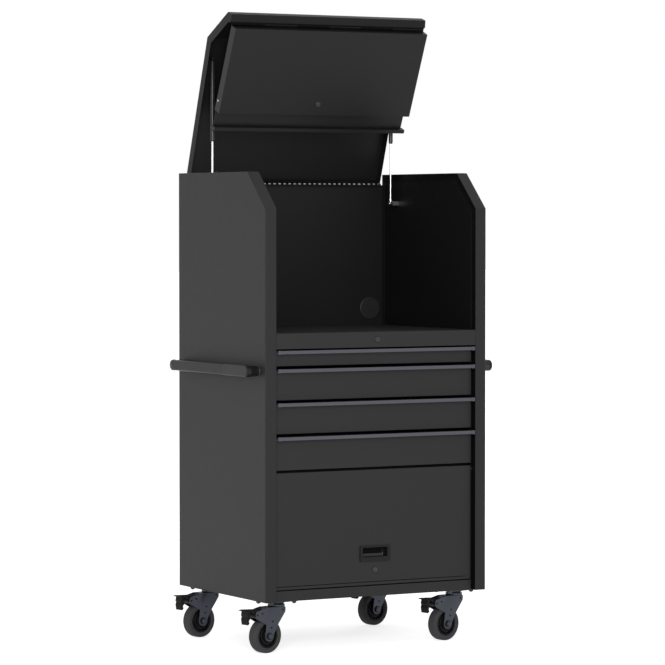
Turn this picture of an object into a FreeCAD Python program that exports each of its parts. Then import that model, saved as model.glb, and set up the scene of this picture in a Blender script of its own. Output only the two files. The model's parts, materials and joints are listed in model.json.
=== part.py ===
import FreeCAD, Part
import math
import os

# Cabinet shell, in millimetres
BODY_WIDTH = 740.0
BODY_DEPTH = 550.0
BODY_BOTTOM = 150.0
SIDE_TOP = 1386.0
CHAMFER_DEPTH = 107.0
CHAMFER_DROP = 105.0
STILE_WIDTH = 36.0
SHEET = 1.5
EDGE_ROUND = 2.5
LIP_DEPTH = 45.0
LIP_SHOWN = 19.0
LINER_SHEET = 1.2
STRIP_WIDTH = 29.0
STRIP_STEP = 2.3
REAR_PANEL_TOP = 1353.6
REAR_FLANGE = 18.0

# Clearances
SEAT_GAP = 0.3
TURN_GAP = 0.05
SLIDE_GAP = 0.5

# How many flats stand in for the curve of small and hidden round parts
HEX_FLATS = 6
KNUCKLE_FLATS = 8
PIN_FLATS = 12
BARREL_FLATS = 24
GROMMET_FLATS = 3 * PIN_FLATS

# How close two points must be to count as the same
SAME_PLACE = 1e-6

# Worktop and fascia
WORKTOP_TOP = 922.0
FASCIA_HEIGHT = 45.0
FASCIA_RETURN = 12.0
WORKTOP_FLANGE = 20.0

# Base pan and middle shelf
FACE_RECESS = 15.0
FACE_SIDE_GAP = 5.0
RAIL_HEIGHT = 30.0
BASE_SHEET = 2.0
BASE_FLANGE = 40.0
SHELF_TOP = 523.5
SHELF_FLANGE = 20.0
SHELF_SETBACK = 41.0

# Cable grommet in the rear panel
GROMMET_SIDE_INSET = 81.4
GROMMET_Z = 974.4
GROMMET_RADIUS = 34.0
GROMMET_HOLE = 30.0
GROMMET_FLANGE = 2.5
GROMMET_SLIT = 5.0

# Drawers, listed from the top: height of the pull strip's top and of the face's lower edge
DRAWER_LEVELS = [(872.0, 827.0), (819.0, 729.0), (721.5, 632.0), (624.0, 527.5)]
PULL_PROUD = 4.0
PULL_HEIGHT = 10.0
PULL_SHEET = 1.8
PULL_CAP_LENGTH = 10.0
PULL_CAP_PROUD = 0.6
PULL_SIDE_GAP = 4.0
FRONT_PAN_DEPTH = 18.0
DRAWER_SHEET = 1.2
DRAWER_DEPTH = 482.0
DRAWER_LIFT = 4.0
DRAWER_HEADROOM = 6.0
RUNNER_HEIGHT = 35.0
RUNNER_LENGTH = 450.0
RUNNER_SHEET = 1.5
RUNNER_SPACE = 12.9
RUNNER_SETBACK = 35.0
MEMBER_DEPTH = 9.6

# Lower door
DOOR_BOTTOM = 183.0
DOOR_TOP = 520.0
DOOR_SIDE_GAP = 6.0
DOOR_LIP = 12.0
DOOR_PIVOT_DROP = 10.0
DOOR_PIVOT_INSET = 10.0
DOOR_PIN_RADIUS = 4.0
DOOR_PIN_REACH = 14.0
HEM_HEIGHT = 8.5
HEM_GROOVE = 1.2
HEM_GROOVE_DEPTH = 0.7

# Paddle latch in the lower door
PADDLE_PLATE = (-50.8, 50.8, 251.0, 298.0)
PADDLE_OPENING = (-42.7, 40.5, 265.0, 292.5)
PADDLE_PROUD = 3.5
PADDLE_RECESS = 16.0
PADDLE_WALL = 1.5
PADDLE_CORNER = 5.0
PADDLE_END = 26.0
PADDLE_PIN_RADIUS = 2.0
PADDLE_PIN_DROP = 4.5
PADDLE_PIN_INSET = 8.0
PADDLE_SHEET = 2.0
PADDLE_SETBACK = 2.0
PADDLE_LIFT = 3.0
PADDLE_CURL = 1.0
PADDLE_BOSS_RADIUS = 3.5
PADDLE_LUG_WIDTH = 3.0

# Key locks
LOCK_BARREL_RADIUS = 9.0
LOCK_PROUD = 2.2
LOCK_BODY_DEPTH = 22.0
LOCK_PLUG_RADIUS = 6.0
LOCK_SLOT_WIDTH = 1.4
LOCK_SLOT_LENGTH = 7.0
LOCK_SLOT_DEPTH = 4.0
LOCK_CAM_THICKNESS = 2.0
LOCK_CAM_WIDTH = 14.0
FASCIA_LOCK_Z = 899.8
FASCIA_CAM_LENGTH = 38.0
FASCIA_CAM_REACH = 37.5
LOWER_LOCK_Z = 227.5
LOWER_CAM_LENGTH = 30.0
LID_DOOR_LOCK_DROP = 232.0
LID_DOOR_CAM_LENGTH = 20.0
LID_DOOR_CAM_ANGLE = 90.0

# Lid, drawn closed and then opened to its rest position
LID_OPEN_ANGLE = 71.25
LID_SIDE_GAP = 4.0
LID_FLANGE = 26.5
LID_FRONT_EDGE = 1257.7
LID_RETURN = 22.0
LID_RETURN_DROP = 4.7
HINGE_PIN_Z = 1356.0
HINGE_KNUCKLE_RADIUS = 3.0
HINGE_PIN_RADIUS = 1.5
HINGE_LEAF = 1.2
HINGE_LEAF_HEIGHT = 24.0
HINGE_PAIRS = 6
KNUCKLE_GAP = 0.4

# Door that hangs from the lid, drawn closed and then folded up under the lid
LID_DOOR_FOLD_ANGLE = 95.15
LID_DOOR_PIVOT_INSET = 29.4
LID_DOOR_PIVOT_Z = 1255.0
LID_DOOR_SIDE_GAP = 8.0
LID_DOOR_DEPTH = 29.0
LID_DOOR_TOP_GAP = 3.6
LID_DOOR_MAIN = 267.0
LID_DOOR_GRIP = 48.0
LID_DOOR_LIP_BAND = 11.0
LID_DOOR_LIP_SETBACK = 9.0
LID_DOOR_GRIP_NARROW = 4.0
LID_DOOR_RETURN = 12.0
LID_DOOR_HINGE_PAIRS = 3
BOLT_RADIUS = 3.5
BOLT_REACH = 3.5
BOLT_DEPTH = 14.5
BOLT_INNER_END = 24.0
BOLT_HOLE_GAP = 1.5

# Gas struts
STRUT_LINER_GAP = 25.8
STRUT_WALL_INSET = 98.0
STRUT_WALL_Z = 1297.0
STRUT_LID_INSET = 169.2
STRUT_LID_DROP = 9.4
STRUT_TUBE_RADIUS = 6.5
STRUT_ROD_RADIUS = 3.0
STRUT_TUBE_LENGTH = 241.0
STRUT_ROD_OVERLAP = 20.0
STRUT_EYE_RADIUS = 6.0
STRUT_EYE_WIDTH = 9.0
STRUT_TUBE_END = 8.0
STRUT_STUD_RADIUS = 3.0

# Side handles
HANDLE_Z = 814.0
HANDLE_FRONT_INSET = 46.0
HANDLE_REAR_INSET = 32.0
HANDLE_POST_RADIUS = 17.0
HANDLE_REACH = 43.0
HANDLE_GRIP_THICKNESS = 13.0
HANDLE_GRIP_TALL = 31.0
HANDLE_SOCKET_LENGTH = 138.0
HANDLE_SOCKET_THICKNESS = 15.0

# Casters, drawn about their own swivel axis with the wheel trailing along +X
CASTER_SIDE_INSET = 70.0
CASTER_END_INSET = 65.0
CASTER_TRAIL_TURN = 191.0
CASTER_TRAIL = 42.0
WHEEL_RADIUS = 50.0
WHEEL_WIDTH = 32.0
RIM_RADIUS = 35.0
RIM_LEDGE = 30.0
HUB_RADIUS = 15.0
RIM_RECESS = 9.0
AXLE_RADIUS = 5.0
NUT_ACROSS = 15.0
NUT_HEIGHT = 6.0
FORK_SHEET = 2.5
FORK_SIDE_GAP = 2.5
FORK_TOP = 133.0
FORK_HUB_RADIUS = 15.5
FORK_NOTCH = (56.0, 84.0)
FORK_HEEL = (8.0, 84.0)
FORK_CROWN_FRONT = -18.0
FORK_CROWN_BACK = 50.0
FORK_CROWN_DROP = 12.0
FORK_ARM_END = 7.0
FORK_ARM_HALF = 10.0
RACE_RADIUS = 25.0
KINGPIN_RADIUS = 6.0
PLATE_LENGTH = 105.0
PLATE_WIDTH = 80.0
PLATE_THICKNESS = 3.0
PLATE_BOLT_X = 42.0
PLATE_BOLT_Y = 30.0
PLATE_BOLT_ACROSS = 13.0
PLATE_BOLT_HEIGHT = 5.5
PEDAL_PIVOT = (84.0, 113.0)
PEDAL_PIN_RADIUS = 3.0
PEDAL_HALF_WIDTH = 16.0
PEDAL_OUTLINE = [
    (-32.0, 13.5),
    (37.0, 17.0),
    (43.0, 16.0),
    (43.0, 13.0),
    (34.0, 9.0),
    (36.0, -7.0),
    (33.0, -27.0),
    (26.0, -23.0),
    (23.0, -9.0),
    (9.0, -4.0),
    (-2.0, -9.0),
    (-18.0, -7.0),
    (-26.0, -5.0),
    (-32.0, 3.0),
]

# Sizes worked out from the ones above
HALF_WIDTH = BODY_WIDTH / 2
STILE_X = HALF_WIDTH - STILE_WIDTH
LINER_X = STILE_X - LINER_SHEET
STRIP_X = LINER_X - STRIP_STEP
STRUT_X = LINER_X - STRUT_LINER_GAP
GROMMET_X = HALF_WIDTH - GROMMET_SIDE_INSET
CASTER_X = HALF_WIDTH - CASTER_SIDE_INSET
CASTER_Y = BODY_DEPTH / 2 - CASTER_END_INSET


def turned(point, pivot, degrees):
    """Turns a (y, z) point about a pivot, as seen from +X with +Y to the right."""
    angle = math.radians(degrees)
    y = point[0] - pivot[0]
    z = point[1] - pivot[1]
    turned_y = y * math.cos(angle) - z * math.sin(angle)
    turned_z = y * math.sin(angle) + z * math.cos(angle)
    return pivot[0] + turned_y, pivot[1] + turned_z


# The origin lies on the floor under the middle of the whole footprint, so the cabinet stands a little forward
HINGE_BEHIND = SEAT_GAP + HINGE_KNUCKLE_RADIUS
KNUCKLE_CORNER = HINGE_KNUCKLE_RADIUS / math.cos(math.pi / KNUCKLE_FLATS)
LID_REAR_CORNER = turned((0.0, SIDE_TOP), (HINGE_BEHIND, HINGE_PIN_Z), -LID_OPEN_ANGLE)
CABINET_CENTRE_Y = (PULL_PROUD - LID_REAR_CORNER[0]) / 2
FRONT = CABINET_CENTRE_Y - BODY_DEPTH / 2
REAR = CABINET_CENTRE_Y + BODY_DEPTH / 2
FACE = FRONT + FACE_RECESS
LID_HINGE = (REAR + HINGE_BEHIND, HINGE_PIN_Z)
LID_DOOR_PIVOT = (FRONT + LID_DOOR_PIVOT_INSET, LID_DOOR_PIVOT_Z)
LID_DOOR_FACE = LID_DOOR_PIVOT[0] - LID_DOOR_DEPTH
LID_DOOR_TOP = LID_DOOR_PIVOT_Z - LID_DOOR_TOP_GAP
LID_HALF_WIDTH = STILE_X - LID_SIDE_GAP
LID_DOOR_HALF_WIDTH = STILE_X - LID_DOOR_SIDE_GAP
STRUT_WALL_STUD = (REAR - STRUT_WALL_INSET, STRUT_WALL_Z)
STRUT_LID_STUD = (FRONT + STRUT_LID_INSET, SIDE_TOP - STRUT_LID_DROP)
DOOR_PIVOT = (FACE + DOOR_PIVOT_INSET, DOOR_TOP - DOOR_PIVOT_DROP)
DRAWER_HALF_WIDTH = LINER_X - RUNNER_SPACE
BOX_FRONT = FACE + FRONT_PAN_DEPTH
SIDE_OUTLINE = [
    (FRONT, BODY_BOTTOM),
    (REAR, BODY_BOTTOM),
    (REAR, SIDE_TOP),
    (FRONT + CHAMFER_DEPTH, SIDE_TOP),
    (FRONT, SIDE_TOP - CHAMFER_DROP),
]


# Small drawing helpers
def vec(x, y, z):
    """A point or direction."""
    return FreeCAD.Vector(x, y, z)


def box(x0, x1, y0, y1, z0, z1):
    """A block between two corners."""
    return Part.makeBox(x1 - x0, y1 - y0, z1 - z0, vec(x0, y0, z0))


def rod_x(x0, x1, y, z, radius):
    """A round bar along X."""
    return Part.makeCylinder(radius, x1 - x0, vec(x0, y, z), vec(1, 0, 0))


def rod_y(x, y0, y1, z, radius):
    """A round bar along Y."""
    return Part.makeCylinder(radius, y1 - y0, vec(x, y0, z), vec(0, 1, 0))


def rod_z(x, y, z0, z1, radius):
    """A round bar along Z."""
    return Part.makeCylinder(radius, z1 - z0, vec(x, y, z0), vec(0, 0, 1))


def slab_x(outline, x0, x1):
    """An outline of (y, z) points pushed along X."""
    wire = Part.makePolygon([vec(x0, y, z) for y, z in outline + outline[:1]])
    return Part.Face(wire).extrude(vec(x1 - x0, 0, 0))


def slab_y(outline, y0, y1):
    """An outline of (x, z) points pushed along Y."""
    wire = Part.makePolygon([vec(x, y0, z) for x, z in outline + outline[:1]])
    return Part.Face(wire).extrude(vec(0, y1 - y0, 0))


def slab_z(outline, z0, z1):
    """An outline of (x, y) points pushed along Z."""
    wire = Part.makePolygon([vec(x, y, z0) for x, y in outline + outline[:1]])
    return Part.Face(wire).extrude(vec(0, 0, z1 - z0))


def ring(radius, flats, a=0.0, b=0.0):
    """A regular outline whose corners stand on a circle about a point."""
    angles = [2 * math.pi * (step + 0.5) / flats for step in range(flats)]
    return [(a + radius * math.cos(angle), b + radius * math.sin(angle)) for angle in angles]


def ring_round(radius, flats, a=0.0, b=0.0):
    """A regular outline whose flats stand on a circle about a point, so a round shaft fits inside it."""
    return ring(radius / math.cos(math.pi / flats), flats, a, b)


def pin_x(x0, x1, y, z, radius):
    """A small pin along X, drawn with flats."""
    return slab_x(ring(radius, PIN_FLATS, y, z), x0, x1)


def pin_y(x, y0, y1, z, radius):
    """A small pin along Y, drawn with flats."""
    return slab_y(ring(radius, PIN_FLATS, x, z), y0, y1)


def bore_x(x0, x1, y, z, radius):
    """The hole that a small pin along X turns in."""
    return slab_x(ring_round(radius, PIN_FLATS, y, z), x0, x1)


def bore_y(x, y0, y1, z, radius):
    """The hole that a small pin along Y turns in."""
    return slab_y(ring_round(radius, PIN_FLATS, x, z), y0, y1)


def fused(shapes):
    """Several touching solids made into one."""
    return shapes[0].multiFuse(shapes[1:]).removeSplitter()


def cut(shape, tools):
    """A solid less several others."""
    return shape.cut(Part.makeCompound(tools)).removeSplitter()


def mirrored(shape):
    """The copy on the other side of the middle plane."""
    return shape.mirror(vec(0, 0, 0), vec(1, 0, 0))


def rounded(shape, radius, chosen):
    """Rounds the edges that a test picks."""
    return shape.makeFillet(radius, [edge for edge in shape.Edges if chosen(edge)])


def runs_along(edge, axis):
    """Whether a straight edge lies along one axis."""
    if len(edge.Vertexes) != 2:
        return False
    span = edge.Vertexes[1].Point.sub(edge.Vertexes[0].Point)
    return abs(abs(span.dot(axis)) - span.Length) < SAME_PLACE


def lies_at_x(edge, x):
    """Whether both ends of an edge lie in one plane across X."""
    return all(abs(vertex.X - x) < SAME_PLACE for vertex in edge.Vertexes)


def left_of(start, end, gap):
    """A line moved to its left."""
    length = math.dist(start, end)
    shift_a = -(end[1] - start[1]) / length * gap
    shift_b = (end[0] - start[0]) / length * gap
    return (start[0] + shift_a, start[1] + shift_b), (end[0] + shift_a, end[1] + shift_b)


def crossing(first, second):
    """Where two lines meet."""
    (ax, ay), (bx, by) = first
    (cx, cy), (dx, dy) = second
    across = (bx - ax) * (dy - cy) - (by - ay) * (dx - cx)
    share = ((cx - ax) * (dy - cy) - (cy - ay) * (dx - cx)) / across
    return ax + share * (bx - ax), ay + share * (by - ay)


def folded_sheet(path, thickness):
    """The section of a sheet folded along a path, its thickness on the left."""
    lines = [left_of(start, end, thickness) for start, end in zip(path, path[1:])]
    corners = [crossing(first, second) for first, second in zip(lines, lines[1:])]
    inner = [lines[0][0]] + corners + [lines[-1][1]]
    return path + inner[::-1]


def inset(outline, gap):
    """An outline drawn anticlockwise, moved inward all round."""
    lines = [left_of(start, end, gap) for start, end in zip(outline, outline[1:] + outline[:1])]
    return [crossing(lines[index - 1], lines[index]) for index in range(len(lines))]


def opened(shape):
    """Carries a lid piece from closed to its open rest position."""
    shape.rotate(vec(0, LID_HINGE[0], LID_HINGE[1]), vec(1, 0, 0), -LID_OPEN_ANGLE)
    return shape


def folded_up(shape):
    """Carries a lid door piece from closed to folded under the open lid."""
    shape.rotate(vec(0, LID_DOOR_PIVOT[0], LID_DOOR_PIVOT[1]), vec(1, 0, 0), LID_DOOR_FOLD_ANGLE)
    return opened(shape)


def save(name, solids):
    """Writes one sub-part, a list of separate solids."""
    shape = solids[0] if len(solids) == 1 else Part.makeCompound(solids)
    shape.exportStep("parts/" + name + ".step")


# Cabinet shell
def side_panel():
    """The right side: one skin with folded edges and an inner return lip."""
    block = slab_x(SIDE_OUTLINE, STILE_X, HALF_WIDTH)
    block = rounded(block, EDGE_ROUND, lambda edge: lies_at_x(edge, HALF_WIDTH))
    hollow = slab_x(inset(SIDE_OUTLINE, SHEET), STILE_X + SHEET, HALF_WIDTH - SHEET)
    mouth = slab_x(inset(SIDE_OUTLINE, LIP_DEPTH), STILE_X - SHEET, STILE_X + 2 * SHEET)
    bolt_y = LID_DOOR_FACE + BOLT_DEPTH
    bolt_z = LID_DOOR_TOP - LID_DOOR_LOCK_DROP
    keeper = bore_x(STILE_X - SHEET, STILE_X + 2 * SHEET, bolt_y, bolt_z, BOLT_RADIUS + BOLT_HOLE_GAP)
    return cut(block, [hollow, mouth, keeper])


def side_liner():
    """The right inner skin, with the raised strip that follows the front and the slope."""
    outline = inset(SIDE_OUTLINE, LIP_SHOWN)
    skin = slab_x(outline, LINER_X, STILE_X)
    path = [outline[3], outline[4], (outline[4][0], WORKTOP_TOP + SEAT_GAP)]
    strip = slab_x(folded_sheet(path, STRIP_WIDTH), STRIP_X, LINER_X)
    return fused([skin, strip])


def rear_panel():
    """The back, with side and top flanges and the hole for the cable grommet."""
    half = STILE_X - SEAT_GAP
    back = box(-half, half, REAR - SHEET, REAR, BODY_BOTTOM, REAR_PANEL_TOP)
    right = box(half - SHEET, half, REAR - REAR_FLANGE, REAR, BODY_BOTTOM, REAR_PANEL_TOP)
    top = box(-half, half, REAR - REAR_FLANGE, REAR, REAR_PANEL_TOP - SHEET, REAR_PANEL_TOP)
    outline = ring(GROMMET_HOLE, GROMMET_FLATS, GROMMET_X, GROMMET_Z)
    hole = slab_y(outline, REAR - 2 * SHEET, REAR + SHEET)
    return cut(fused([back, right, mirrored(right), top]), [hole])


def cable_grommet():
    """A round rubber bush with a slit, clipped into the rear panel."""
    inner = REAR - SHEET - SEAT_GAP
    outer = REAR + GROMMET_FLANGE
    rim = ring(GROMMET_RADIUS, GROMMET_FLATS, GROMMET_X, GROMMET_Z)
    flange = slab_y(rim, inner - GROMMET_FLANGE, inner)
    neck = slab_y(ring(GROMMET_HOLE - SEAT_GAP, GROMMET_FLATS, GROMMET_X, GROMMET_Z), inner, outer)
    slit = box(
        GROMMET_X - GROMMET_RADIUS + 2 * SHEET,
        GROMMET_X + GROMMET_RADIUS - 2 * SHEET,
        inner - 2 * GROMMET_FLANGE,
        outer + 2 * GROMMET_FLANGE,
        GROMMET_Z - GROMMET_SLIT / 2,
        GROMMET_Z + GROMMET_SLIT / 2,
    )
    return cut(fused([flange, neck]), [slit])


def worktop():
    """The bench top, notched round the side strips, with the fascia folded down in front."""
    low = WORKTOP_TOP - SHEET
    front_half = STILE_X - SEAT_GAP
    strip_half = STRIP_X - SEAT_GAP
    rear_half = LINER_X - SEAT_GAP
    strip_front = FRONT + LIP_SHOWN - SEAT_GAP
    strip_rear = FRONT + LIP_SHOWN + STRIP_WIDTH + SEAT_GAP
    rear_edge = REAR - REAR_FLANGE - SEAT_GAP
    back_edge = REAR - SHEET - SEAT_GAP
    back_half = STILE_X - 2 * SEAT_GAP - SHEET
    plates = [
        box(-front_half, front_half, FRONT, strip_front, low, WORKTOP_TOP),
        box(-strip_half, strip_half, strip_front, strip_rear, low, WORKTOP_TOP),
        box(-rear_half, rear_half, strip_rear, rear_edge, low, WORKTOP_TOP),
        box(-back_half, back_half, rear_edge, back_edge, low, WORKTOP_TOP),
        box(-back_half, back_half, back_edge - SHEET, back_edge, WORKTOP_TOP - WORKTOP_FLANGE, WORKTOP_TOP),
    ]
    wing = box(rear_half - SHEET, rear_half, strip_rear, rear_edge, WORKTOP_TOP - WORKTOP_FLANGE, WORKTOP_TOP)
    bottom = WORKTOP_TOP - FASCIA_HEIGHT
    fascia = box(-front_half, front_half, FRONT, FRONT + SHEET, bottom, WORKTOP_TOP)
    lower = box(-front_half, front_half, FRONT, FRONT + FASCIA_RETURN, bottom, bottom + SHEET)
    top = fused(plates + [wing, mirrored(wing), fascia, lower])
    top = rounded(top, EDGE_ROUND / 2, lambda edge: is_front_edge(edge, WORKTOP_TOP))
    return cut(top, [lock_hole(FASCIA_LOCK_Z, FRONT)])


def is_front_edge(edge, z):
    """Whether an edge runs across the cabinet's front at one height."""
    off = [abs(vertex.Z - z) + abs(vertex.Y - FRONT) for vertex in edge.Vertexes]
    level = max(off) < SAME_PLACE
    return level and runs_along(edge, vec(1, 0, 0))


def base_pan():
    """The floor of the cabinet, folded up at the sides and back and into the front rail."""
    floor_half = STILE_X - SEAT_GAP
    wall_half = LINER_X - SEAT_GAP
    rail_half = STILE_X - FACE_SIDE_GAP
    floor_top = BODY_BOTTOM + BASE_SHEET
    back = REAR - SHEET - SEAT_GAP
    side_back = REAR - REAR_FLANGE - SEAT_GAP
    side_front = FACE + FRONT_PAN_DEPTH + SEAT_GAP
    back_half = STILE_X - 2 * SEAT_GAP - SHEET
    rail_top = BODY_BOTTOM + RAIL_HEIGHT
    wall_top = BODY_BOTTOM + BASE_FLANGE
    wall = box(wall_half - SHEET, wall_half, side_front, side_back, BODY_BOTTOM, wall_top)
    pieces = [
        box(-floor_half, floor_half, side_front, side_back, BODY_BOTTOM, floor_top),
        box(-rail_half, rail_half, FACE, side_front, BODY_BOTTOM, floor_top),
        box(-back_half, back_half, side_back, back, BODY_BOTTOM, floor_top),
        box(-back_half, back_half, back - SHEET, back, BODY_BOTTOM, wall_top),
        box(-rail_half, rail_half, FACE, FACE + SHEET, BODY_BOTTOM, rail_top),
        box(-rail_half, rail_half, FACE, FACE + FASCIA_RETURN, rail_top - SHEET, rail_top),
        wall,
        mirrored(wall),
    ]
    return fused(pieces)


def mid_shelf():
    """The shelf between the drawers and the lower compartment."""
    half = LINER_X - SEAT_GAP
    front = FRONT + SHELF_SETBACK
    back = REAR - REAR_FLANGE - SEAT_GAP
    low = SHELF_TOP - SHELF_FLANGE
    wing = box(half - SHEET, half, front, back, low, SHELF_TOP)
    pieces = [
        box(-half, half, front, back, SHELF_TOP - SHEET, SHELF_TOP),
        box(-half, half, front, front + SHEET, low, SHELF_TOP),
        box(-half, half, back - SHEET, back, low, SHELF_TOP),
        wing,
        mirrored(wing),
    ]
    return fused(pieces)


def pivot_pins():
    """The strut studs on the walls and the pins that carry the lower door."""
    stud_end = STRUT_X - STRUT_EYE_WIDTH / 2 - SHEET
    stud = pin_x(stud_end, LINER_X, STRUT_WALL_STUD[0], STRUT_WALL_STUD[1], STRUT_STUD_RADIUS)
    collar_start = STRUT_X + STRUT_EYE_WIDTH / 2 + SEAT_GAP
    stud_y, stud_z = STRUT_WALL_STUD
    radius = STRUT_EYE_RADIUS
    collar = box(collar_start, LINER_X, stud_y - radius, stud_y + radius, stud_z - radius, stud_z + radius)
    stud = fused([stud, collar])
    pin = rod_x(LINER_X - DOOR_PIN_REACH, LINER_X, DOOR_PIVOT[0], DOOR_PIVOT[1], DOOR_PIN_RADIUS)
    return [stud, mirrored(stud), pin, mirrored(pin)]


# Drawers and their runners
def drawer_base(face_bottom):
    """The height of a drawer box's floor."""
    return face_bottom + DRAWER_LIFT


def cabinet_runner(level):
    """The outer member of one right-hand runner, a channel fixed to the liner."""
    base = drawer_base(level[1])
    front = FACE + RUNNER_SETBACK
    web_x = LINER_X - SEAT_GAP
    path = [
        (web_x - MEMBER_DEPTH, base),
        (web_x, base),
        (web_x, base + RUNNER_HEIGHT),
        (web_x - MEMBER_DEPTH, base + RUNNER_HEIGHT),
    ]
    return slab_y(folded_sheet(path, RUNNER_SHEET), front, front + RUNNER_LENGTH)


def drawer_runner(level):
    """The inner member, a narrower channel fixed to the drawer and nested in the outer one."""
    base = drawer_base(level[1])
    front = FACE + RUNNER_SETBACK
    gap = RUNNER_SHEET + SLIDE_GAP
    low = base + gap
    high = base + RUNNER_HEIGHT - gap
    web_x = DRAWER_HALF_WIDTH + SEAT_GAP
    path = [
        (web_x + MEMBER_DEPTH, high),
        (web_x, high),
        (web_x, low),
        (web_x + MEMBER_DEPTH, low),
    ]
    return slab_y(folded_sheet(path, RUNNER_SHEET), front, front + RUNNER_LENGTH)


def drawer_box(level):
    """An open drawer with a hollow front pan, folded from sheet."""
    strip_top, face_bottom = level
    face_top = strip_top - PULL_HEIGHT
    face_half = STILE_X - FACE_SIDE_GAP
    base = drawer_base(face_bottom)
    rim = strip_top - DRAWER_HEADROOM
    half = DRAWER_HALF_WIDTH
    body = box(-half, half, BOX_FRONT, BOX_FRONT + DRAWER_DEPTH, base, rim)
    room = box(
        -half + DRAWER_SHEET,
        half - DRAWER_SHEET,
        BOX_FRONT + DRAWER_SHEET,
        BOX_FRONT + DRAWER_DEPTH - DRAWER_SHEET,
        base + DRAWER_SHEET,
        rim + DRAWER_SHEET,
    )
    pan = box(-face_half, face_half, FACE, BOX_FRONT, face_bottom, face_top)
    pan = rounded(pan, EDGE_ROUND / 2, is_face_rim)
    pan_room = box(
        -face_half + DRAWER_SHEET,
        face_half - DRAWER_SHEET,
        FACE + SHEET,
        BOX_FRONT,
        face_bottom - SHEET,
        face_top - DRAWER_SHEET,
    )
    return fused([cut(body, [room]), cut(pan, [pan_room])])


def is_face_rim(edge):
    """Whether an edge lies in the plane of the drawer and door faces."""
    return all(abs(vertex.Y - FACE) < SAME_PLACE for vertex in edge.Vertexes)


def pull_profile(strip_top, grow):
    """The section of a pull strip: a foot, a web, a top and a front lip to hook the fingers over."""
    front = FRONT - PULL_PROUD - grow
    foot_back = BOX_FRONT - PULL_SHEET
    low = strip_top - PULL_HEIGHT + SEAT_GAP - grow
    top = strip_top + grow
    web = FACE + PULL_SHEET + grow
    return [
        (front, low),
        (front, top),
        (foot_back, top),
        (foot_back, top - PULL_SHEET - grow),
        (web, top - PULL_SHEET - grow),
        (web, low + grow),
        (FACE, low + grow),
        (FACE, top - PULL_SHEET - grow),
        (front + PULL_SHEET + grow, top - PULL_SHEET - grow),
        (front + PULL_SHEET + grow, low),
    ]


def drawer_pull(level):
    """The full-width pull strip and its two end caps."""
    strip_top = level[0]
    half = STILE_X - PULL_SIDE_GAP
    strip_half = half - PULL_CAP_LENGTH - SEAT_GAP
    strip = slab_x(pull_profile(strip_top, 0.0), -strip_half, strip_half)
    cap = slab_x(pull_profile(strip_top, PULL_CAP_PROUD), strip_half + SEAT_GAP, half)
    return [strip, cap, mirrored(cap)]


# Key locks
def lock_hole(z, face):
    """The round hole that a lock's barrel passes through."""
    return slab_y(ring(LOCK_BARREL_RADIUS + SEAT_GAP, BARREL_FLATS, 0.0, z), face - SHEET, face + 2 * SHEET)


def lock_housing(z, face):
    """A lock's fixed barrel, standing a little proud of the face and bored for the plug."""
    outside = ring(LOCK_BARREL_RADIUS, BARREL_FLATS, 0.0, z)
    inside = ring_round(LOCK_PLUG_RADIUS + TURN_GAP, BARREL_FLATS, 0.0, z)
    front = face - LOCK_PROUD
    back = face + LOCK_BODY_DEPTH
    return slab_y(outside, front, back).cut(slab_y(inside, front, back))


def lock_plug(z, face, cam_length, cam_angle, cam_reach):
    """A lock's turning plug with its key slot and the cam on its inner end."""
    front = face - LOCK_PROUD
    cam_front = face + cam_reach
    plug = slab_y(ring(LOCK_PLUG_RADIUS, BARREL_FLATS, 0.0, z), front, cam_front)
    slot = box(
        -LOCK_SLOT_WIDTH / 2,
        LOCK_SLOT_WIDTH / 2,
        front - SHEET,
        front + LOCK_SLOT_DEPTH,
        z - LOCK_SLOT_LENGTH / 2,
        z + LOCK_SLOT_LENGTH / 2,
    )
    half = LOCK_CAM_WIDTH / 2
    cam = box(-half, cam_length - half, cam_front, cam_front + LOCK_CAM_THICKNESS, z - half, z + half)
    cam.rotate(vec(0, 0, z), vec(0, 1, 0), cam_angle)
    return fused([cut(plug, [slot]), cam])


# Lower door and its latch
def lower_door_panel():
    """The flap of the lower compartment: a folded pan with hinge ears and a hemmed lower edge."""
    half = STILE_X - DOOR_SIDE_GAP
    back = FACE + FRONT_PAN_DEPTH
    pan = box(-half, half, FACE, back, DOOR_BOTTOM, DOOR_TOP)
    pan = rounded(pan, EDGE_ROUND / 2, is_face_rim)
    room = box(-half + SHEET, half - SHEET, FACE + SHEET, back - SHEET, DOOR_BOTTOM + SHEET, DOOR_TOP - SHEET)
    mouth = box(
        -half + DOOR_LIP,
        half - DOOR_LIP,
        back - 2 * SHEET,
        back + SHEET,
        DOOR_BOTTOM + DOOR_LIP,
        DOOR_TOP - DOOR_LIP,
    )
    pivot_hole = bore_x(-HALF_WIDTH, HALF_WIDTH, DOOR_PIVOT[0], DOOR_PIVOT[1], DOOR_PIN_RADIUS + TURN_GAP)
    groove_z = DOOR_BOTTOM + HEM_HEIGHT
    groove_back = FACE + HEM_GROOVE_DEPTH
    groove = box(-half - SHEET, half + SHEET, FACE - SHEET, groove_back, groove_z, groove_z + HEM_GROOVE)
    left, right, low, high = PADDLE_OPENING
    wall = PADDLE_WALL + SEAT_GAP
    latch_hole = box(left - wall, right + wall, FACE - SHEET, FACE + 2 * SHEET, low - wall, high + wall)
    return cut(pan, [room, mouth, pivot_hole, groove, latch_hole, lock_hole(LOWER_LOCK_Z, FACE)])


def paddle_pivot():
    """The (y, z) place of the paddle's pin."""
    return FACE + PADDLE_PIN_INSET, PADDLE_OPENING[3] - PADDLE_PIN_DROP


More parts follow.
